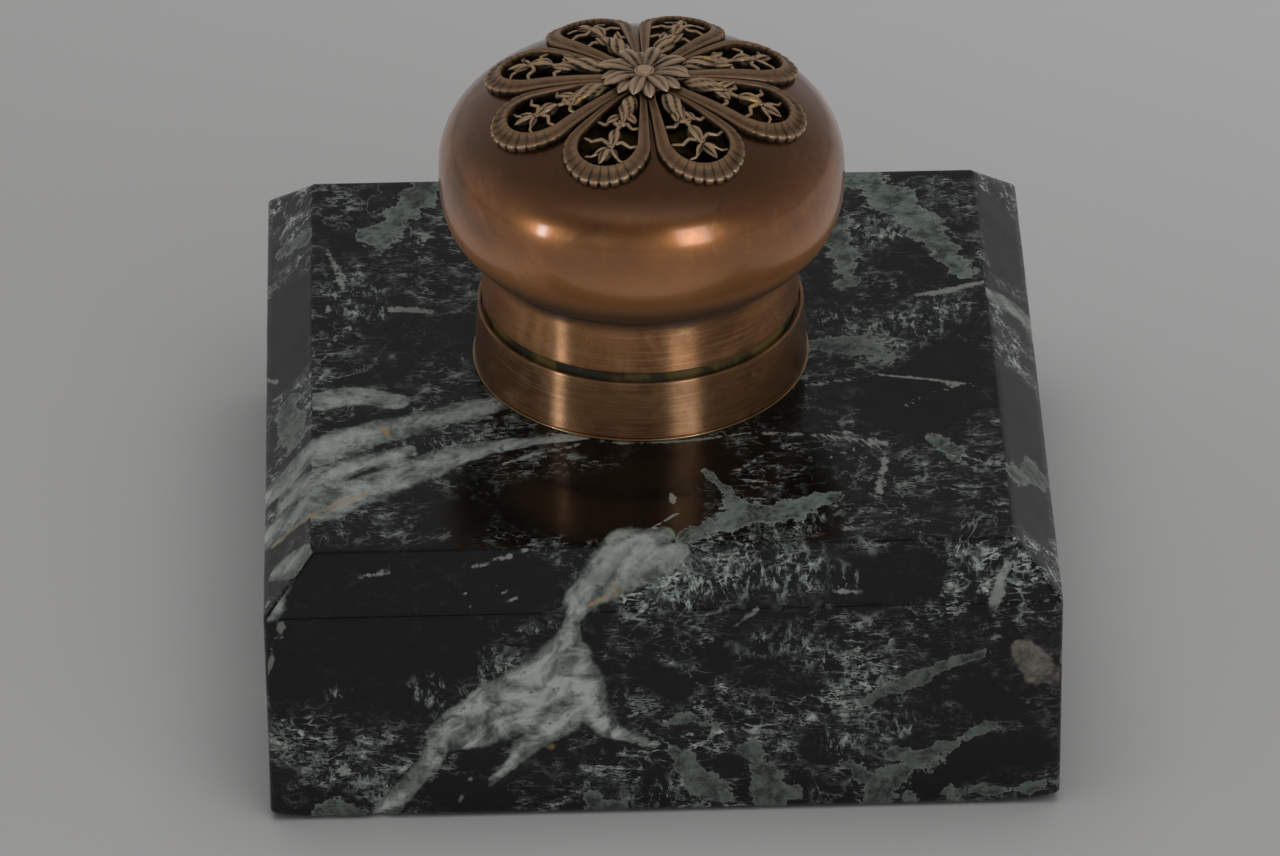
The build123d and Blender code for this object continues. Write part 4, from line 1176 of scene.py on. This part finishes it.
def rosette_loop(casting, angle, size):
    """One flat strap bent to a teardrop, with a milled edge round its outer end."""
    # Across the strap: share of its width, height in millimetres, and proud, which the bronze
    # paints darker in the hollows as patina and painted shade.
    across = [
        (0.00, -0.10, 0.0), (0.00, 0.50, 0.30), (0.02, 0.80, 0.7),
        (0.08, 0.98, 1.0), (0.20, 1.00, 0.75),
        (0.38, 0.98, 0.60), (0.58, 1.08, 0.68), (0.76, 1.32, 0.9), (0.88, 1.46, 1.0),
        (0.96, 1.40, 0.9),
        (1.00, 1.10, 0.5), (1.00, -0.10, 0.0),
    ]
    lobes = 15
    rows = []
    for point, normal, tip in loop_outline(230):
        broad = 0.5 - 0.5 * math.cos(2 * math.pi * tip) if tip else 0.0
        far = min(1.0, max(0.0, (point.x - 7 * MM) / (11 * MM)))
        width = (1.15 + 1.0 * far + 0.55 * broad) * MM
        milled = min(1.0, 3.2 * min(tip, 1 - tip)) if tip else 0.0
        notch = milled * max(0.0, 1 - abs(math.sin(math.pi * lobes * tip)) ** 0.8 * 1.55)
        out = Vector((math.cos(normal), math.sin(normal)))
        row = []
        for share, height, proud in across:
            bite = 0.50 * MM * notch * max(0.0, 1 - share / 0.26)
            groove = 0.42 * notch * max(0.0, 1 - share / 0.34) * (1 if height > 0 else 0)
            place = (point - out * (share * width + bite)) * size
            turned = Matrix.Rotation(angle, 2) @ place
            lift = (height - groove) * MM * (1.04 + 0.12 * far)
            # Rubbed wear and painted highlight along the milled rim and the raised inner edge; the
            # notches are painted darker as shade.
            rim = milled * max(0.0, 1 - abs(share - 0.06) / 0.12) * (1 - notch)
            inner = max(0.0, 1 - abs(share - 0.90) / 0.08)
            worn = max(rim, 0.55 * inner)
            row.append((on_dome(turned.x, turned.y, lift), proud * (1 - 0.55 * notch), worn))
        rows.append(row)
    casting.grid(rows[:-1], closed=True)


def bud(casting, place, heading, length, width, height, flutes, twist, lift, curl):
    """A fluted bud or leaf that lies on the dome: place and heading are seen from above."""
    along, around, blunt = 18, 22, 0.8
    forward = Vector((math.cos(heading), math.sin(heading)))
    side = Vector((-forward.y, forward.x))
    rows = []
    for i in range(along + 1):
        t = i / along
        bulge = math.sin(math.pi * min(1.0, 0.04 + 0.955 * t)) ** blunt
        girth = max(0.03, bulge * (1.12 - 0.45 * t))
        row = []
        for k in range(around):
            a = 2 * math.pi * k / around
            ridge = abs(math.cos(flutes / 2 * a + twist * t * math.pi))
            swell = 1 - 0.34 * (1 - ridge) ** 1.5 * math.sin(math.pi * t)
            reach = girth * swell
            flat_place = place + forward * length * t + side * (width / 2 * reach * math.cos(a))
            up = lift + height / 2 * reach * math.sin(a) + curl * t ** 3
            # Painted light and shade: the upper side and ridges are painted lighter, the flutes
            # darker, and the ridge tops get a painted highlight with their wear.
            proud = 0.42 + 0.58 * math.sin(a) * (0.6 + 0.4 * ridge) - 0.6 * (1 - ridge) ** 1.5
            worn = 0.55 * ridge ** 6 * max(0, math.sin(a))
            row.append((on_dome(flat_place.x, flat_place.y, up), proud, worn))
        rows.append(row)
    casting.grid(rows)


def tendril(casting, knots, thick, lifts):
    """A thin stem through three or four knots seen from above."""
    steps, around = 12, 8
    rows = []
    for i in range(steps + 1):
        t = i / steps * (len(knots) - 1)
        j = min(int(t), len(knots) - 2)
        f = t - j
        f = f * f * (3 - 2 * f) if len(knots) > 2 else f
        place = knots[j].lerp(knots[j + 1], f)
        ahead = (knots[j + 1] - knots[j]).normalized()
        side = Vector((-ahead.y, ahead.x))
        lift = lifts[0] + (lifts[1] - lifts[0]) * i / steps
        lift += 0.12 * MM * math.sin(math.pi * i / steps)
        girth = thick * (1.0 - 0.35 * i / steps)
        row = []
        for k in range(around):
            a = 2 * math.pi * k / around
            spot = place + side * girth * math.cos(a)
            up = lift + girth * math.sin(a)
            # Painted light: the stem's upper side is painted lighter than its underside.
            row.append((on_dome(spot.x, spot.y, up), 0.55 + 0.4 * math.sin(a), 0.2))
        rows.append(row)
    casting.grid(rows)


def flower_spray(casting, angle, lean, big):
    """A spray inside one loop: two fluted buds, leaves, knots, and the tendrils that tie it."""
    turn = Matrix.Rotation(angle, 2)
    sway = lean * 0.5
    crosswise = math.pi / 2

    def at(x, y):
        return turn @ Vector((x, y)) * MM

    # Place, heading, length, width, height, flutes, twist, lift, curl.
    for x, y, heading, length, width, height, flutes, twist, lift, curl in (
        (6.2, 0, sway * 0.12, 7.2, 3.3 + big, 2.7, 6, 2.2 * lean, 1.35, 0),
        (10.8, 0.7 * lean, 0.55 * lean, 3.2, 1.7, 1.5, 4, 0.8, 1.35, 0.7),
        (11.2, -0.6 * lean, -0.35 * lean, 3.0, 1.6, 1.4, 4, -0.8, 1.2, 0.4),
        (13.5, -0.2, crosswise, 1.0, 1.1, 1.2, 5, 0, 1.1, 0),
        (14.6, 0.1 * sway, 0.08 * lean, 4.0, 2.6 + 0.6 * big, 2.1, 5, 0.5, 1.15, 0),
        (18.1, -0.4, crosswise, 1.1, 1.1, 1.2, 5, 0, 1.15, 0),
        (18.5, 0.1, -0.22 * lean, 3.2, 2.0, 1.4, 4, 0.4, 1.0, 0),
        (18.4, 0.2, 0.75, 2.5, 1.2, 1.0, 3, 0, 1.0, 0),
        (18.4, -0.2, -0.80, 2.5, 1.2, 1.0, 3, 0, 1.0, 0),
    ):
        bud(casting, at(x, y), angle + heading, length * MM, width * MM, height * MM, flutes, twist,
            lift * MM, curl * MM)
    stem = [at(12.4, 0), at(13.8, 0.3 * sway), at(15.2, 0)]
    tendril(casting, stem, 0.45 * MM, (1.0 * MM, 1.0 * MM))
    for side in (-1, 1):
        for knots, thick, low, high in (
            (((13.5, 0), (12.9, 1.2), (13.7, 2.1), (13.0, 3.4)), 0.40, 1.15, 0.8),
            (((17.9, 0), (17.0, 1.6), (17.6, 2.9), (16.8, 4.4)), 0.36, 1.15, 0.75),
            (((18.6, 0), (19.6, 1.2), (20.4, 2.2), (20.4, 3.2)), 0.28, 0.9, 0.7),
        ):
            path = [at(x, y * side) for x, y in knots]
            tendril(casting, path, thick * MM, (low * MM, high * MM))

def daisy_petal(casting, angle, length, width, lift, droop):
    """A pointed petal, hollowed along its middle and raised towards its tip."""
    along, around = 14, 20
    forward = Vector((math.cos(angle), math.sin(angle)))
    side = Vector((-forward.y, forward.x))
    rows = []
    for i in range(along + 1):
        t = i / along
        girth = max(0.05, math.sin(math.pi * (0.13 + 0.865 * t ** 1.5)) ** 0.62)
        rise = lift + 0.75 * MM * math.sin(math.pi * min(1, t * 0.80)) - droop * t * t
        row = []
        for k in range(around):
            a = 2 * math.pi * k / around
            crease = math.exp(-((math.cos(a)) / 0.30) ** 2) * max(0.0, math.sin(a))
            spot = forward * (1.2 * MM + length * t) + side * (width / 2 * girth * math.cos(a))
            up = rise + 0.62 * MM * girth * math.sin(a) - 0.30 * MM * crease * math.sin(math.pi * t)
            # Painted light and shade: the upper face and tip are painted lighter, the middle crease
            # and the root darker.
            proud = 0.42 + 0.58 * math.sin(a) - 0.75 * crease * (1 - 0.5 * t) - 0.35 * (1 - t) ** 2
            worn = 0.5 * t * max(0.0, math.sin(a)) * (1 - crease)
            row.append((on_dome(spot.x, spot.y, up), proud, worn))
        rows.append(row)
    casting.grid(rows)


def centre_button(material):
    """The dimpled button in the daisy, turned from a profile of (radius, height) in millimetres."""
    profile = [
        (0.3, 1.66), (0.62, 1.86), (0.86, 1.92), (1.06, 1.84), (1.14, 1.66), (1.2, 1.58),
        (1.36, 1.66), (1.5, 1.62), (1.62, 1.44), (1.66, 1.1), (1.66, 0.4),
    ]
    stand, segments = 0.9, 40
    centre = on_dome(0, 0, 0)
    rows = []
    for radius, up in profile:
        row = []
        for k in range(segments):
            a = 2 * math.pi * k / segments
            spot = Vector((radius * math.cos(a), radius * math.sin(a), up + stand)) * MM
            # Painted light: the button's top is painted lighter and its crown gets a painted
            # highlight.
            row.append((centre + spot, 0.4 + 0.6 * (up > 1.6), 0.5 * (up > 1.8)))
        rows.append(row)
    casting = Casting()
    casting.grid(rows)
    return casting.make("centre_button", material)

def rosette(materials):
    loops = Casting()
    for i in range(LOOPS):
        angle = FIRST_LOOP + 2 * math.pi * i / LOOPS
        rosette_loop(loops, angle, 1.02 + random.uniform(-0.008, 0.008))
    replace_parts(loops.make("rosette_straps", materials["loop"]), "rosette_loops")
    for i in range(LOOPS):
        spray = Casting()
        lean = random.choice((-1, 1)) * random.uniform(0.7, 1.2)
        angle = FIRST_LOOP + 2 * math.pi * i / LOOPS + random.uniform(-0.03, 0.03)
        flower_spray(spray, angle, lean, random.uniform(-0.2, 0.5))
        piece = spray.make(f"flower_spray_{i + 1}", materials["spray"])
        if i == 0:
            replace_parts(piece, "rosette_sprays")
    daisy = Casting()
    for i in range(PETALS):
        angle = FIRST_LOOP + 2 * math.pi * (i + 0.15) / PETALS + random.uniform(-0.03, 0.03)
        length, lift, droop = (5.5, 1.5, 0.35) if i % 2 else (5.9, 2.05, 0.15)
        length *= random.uniform(0.95, 1.05)
        daisy_petal(daisy, angle, length * MM, 2.5 * MM, lift * MM, droop * MM)
    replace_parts(daisy.make("daisy", materials["daisy"]), "rosette_daisy")
    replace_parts(centre_button(materials["daisy"]), "rosette_button")

# ---- small CAD pieces that keep their shape -----------------------------------------------------
def soften(node, material, width):
    """A CAD node keeps its mesh and gets a fine bevel and a real material."""
    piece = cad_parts[node]
    piece.data.materials.clear()
    piece.data.materials.append(material)
    bevel = piece.modifiers.new("edge", "BEVEL")
    bevel.width = width
    bevel.segments = 3
    bevel.limit_method = "ANGLE"
    bevel.angle_limit = math.radians(35)
    bevel.harden_normals = True


# ---- floor, light and camera --------------------------------------------------------------------
def floor(material):
    size = 6.0
    mesh = bpy.data.meshes.new("floor")
    corners = [(-size, -size, 0), (size, -size, 0), (size, size, 0), (-size, size, 0)]
    mesh.from_pydata(corners, [], [(0, 1, 2, 3)])
    mesh.materials.append(material)
    piece = bpy.data.objects.new("floor", mesh)
    bpy.context.scene.collection.objects.link(piece)


def studio_light(name, azimuth, elevation, width, height, watts, seen_by="glossy", tint=(1, 1, 1)):
    """A soft box that faces the inkwell. Azimuth 0 is in front of it and grows to the right."""
    a, e = math.radians(azimuth), math.radians(elevation)
    target = Vector((AXIS[0], AXIS[1], DOME_EQUATOR))
    away = Vector((math.sin(a) * math.cos(e), -math.cos(a) * math.cos(e), math.sin(e)))
    data = bpy.data.lights.new(name, "AREA")
    data.shape = "RECTANGLE"
    data.size, data.size_y = width, height
    data.energy = watts
    data.color = tint
    lamp = bpy.data.objects.new(name, data)
    bpy.context.scene.collection.objects.link(lamp)
    lamp.location = target + away * LIGHT_DISTANCE
    lamp.rotation_mode = "QUATERNION"
    lamp.rotation_quaternion = (-away).to_track_quat("-Z", "Y")
    lamp.visible_glossy = seen_by != "diffuse"
    lamp.visible_diffuse = seen_by != "glossy"


def surroundings():
    """A grey studio: a pale horizon, a dimmer ceiling, and a dark room behind the camera."""
    world = bpy.data.worlds.new("studio")
    bpy.context.scene.world = world
    t = Tree(world, "Background", "Generated")
    sideways, depth, height = t.axes()
    sky = t.ease(height, 0.0, 0.95, 0.31, 0.15)
    room = t.times(t.ease(depth, -0.70, -0.20, 1.0, 0.0), t.ease(height, 0.22, 0.50))
    room = t.times(room, t.ease(height, 0.56, 0.80, 1.0, 0.0))
    shade = t.add(t.times(room, -0.56), 1.0)
    side = t.ease(sideways, 0.3, 0.95, 1.0, 0.72)
    overhead = t.ease(height, 0.68, 0.80, 0.0, 0.20)
    canopy = t.times(t.ease(depth, -0.50, -0.15, 1.0, 0.0), overhead)
    strength = t.add(t.times(t.times(sky, shade), side), canopy)
    t.set(Strength=strength, Color=(1.0, 0.995, 0.99))

def camera():
    """At the photograph's angle: nearly straight in front and a third of the way up."""
    azimuth, elevation, roll = math.radians(-1.243), math.radians(33.159), math.radians(-0.599)
    target = Vector((-2.006 * MM, 0.0, 30.757 * MM))
    distance = 1.42857
    back = Vector((math.sin(azimuth) * math.cos(elevation),
                   -math.cos(azimuth) * math.cos(elevation),
                   math.sin(elevation)))
    right = (-back).cross(Vector((0, 0, 1))).normalized()
    up = right.cross(-back)
    tilted_right = right * math.cos(roll) + up * math.sin(roll)
    tilted_up = up * math.cos(roll) - right * math.sin(roll)
    data = bpy.data.cameras.new("camera")
    data.lens = 258.29
    data.sensor_width = 36.0
    eye = bpy.data.objects.new("camera", data)
    bpy.context.scene.collection.objects.link(eye)
    turn = Matrix((tilted_right, tilted_up, back)).transposed().to_4x4()
    eye.matrix_world = Matrix.Translation(target + back * distance) @ turn
    bpy.context.scene.camera = eye


# ---- the scene ----------------------------------------------------------------------------------
camera()
surroundings()
studio_light("left_strip", -56, 6, 0.13, 0.56, 2.0, tint=(0.88, 0.99, 1.22))
studio_light("right_box", 27, 16, 0.48, 0.84, 3.5, tint=(0.92, 0.99, 1.14))
studio_light("ceiling_fill", -20, 88, 1.7, 1.7, 13.4, seen_by="diffuse")
studio_light("front_fill", 25, 40, 1.6, 1.2, 5, seen_by="diffuse")
floor(floor_material())

bpy.context.scene.view_settings.view_transform = "Standard"

collar_copper = copper_material(
    "collar_copper", (0.20, 0.092, 0.040), (0.56, 0.275, 0.115), (0.74, 0.42, 0.215), 0.33, 1.0)
foot_copper = copper_material(
    "foot_copper", (0.22, 0.13, 0.06), (0.44, 0.29, 0.14), (0.62, 0.46, 0.26), 0.30, 0.4)
neck_copper = copper_material(
    "neck_copper", (0.38, 0.158, 0.062), (0.90, 0.42, 0.17), (0.97, 0.57, 0.30), 0.31, 1.0,
    crease=(SEAM - 2.6 * MM, SEAM - 0.2 * MM, 0.92))
dome_copper = copper_material(
    "dome_copper", (0.25, 0.092, 0.024), (0.48, 0.180, 0.044), (0.62, 0.27, 0.10), 0.33, 0.15,
    crease=(SEAM + 10 * MM, SEAM + 3.4 * MM, 0.86), patina=True, coat=0.85, sheen=0.13, gloss=1.66)
sleeve_copper = copper_material(
    "sleeve_copper", (0.10, 0.07, 0.04), (0.22, 0.13, 0.07), (0.30, 0.20, 0.11), 0.5, 0.3,
    seam=(RIM - 2 * MM, NECK_LOW.z + 1 * MM))
bronze = {
    "loop": bronze_material(
        "strap_bronze", (0.022, 0.014, 0.007), (0.42, 0.250, 0.140), (0.62, 0.40, 0.14), 0.20),
    "spray": bronze_material(
        "spray_bronze", (0.012, 0.008, 0.004), (0.74, 0.495, 0.295), (0.95, 0.60, 0.20), 0.36),
    "daisy": bronze_material(
        "daisy_bronze", (0.018, 0.012, 0.007), (0.84, 0.580, 0.385), (0.80, 0.56, 0.28), 0.24),
}
hinge_brass = copper_material(
    "hinge_brass", (0.14, 0.08, 0.04), (0.34, 0.21, 0.11), (0.50, 0.35, 0.19), 0.34, 0.3)
turned_brass = copper_material(
    "turned_brass", (0.25, 0.17, 0.08), (0.48, 0.35, 0.17), (0.60, 0.46, 0.24), 0.32, 0.6)

marble_block(marble_material())
felt_sheet(felt_material())
foot_plate(foot_copper)
collar(collar_copper)
neck(sleeve_copper, neck_copper)
dome(dome_copper)
ink_pot(porcelain_material())
seat_ring(leather_material())
rosette(bronze)
for node in ("hinge_leaf_collar", "hinge_leaf_lid", "hinge_pin",
             "hinge_rivets_collar", "hinge_rivets_lid"):
    soften(node, hinge_brass, 0.15 * MM)
for node in ("stud_rods", "stud_washers", "stud_nuts", "lid_washer", "lid_nut"):
    soften(node, turned_brass, 0.12 * MM)
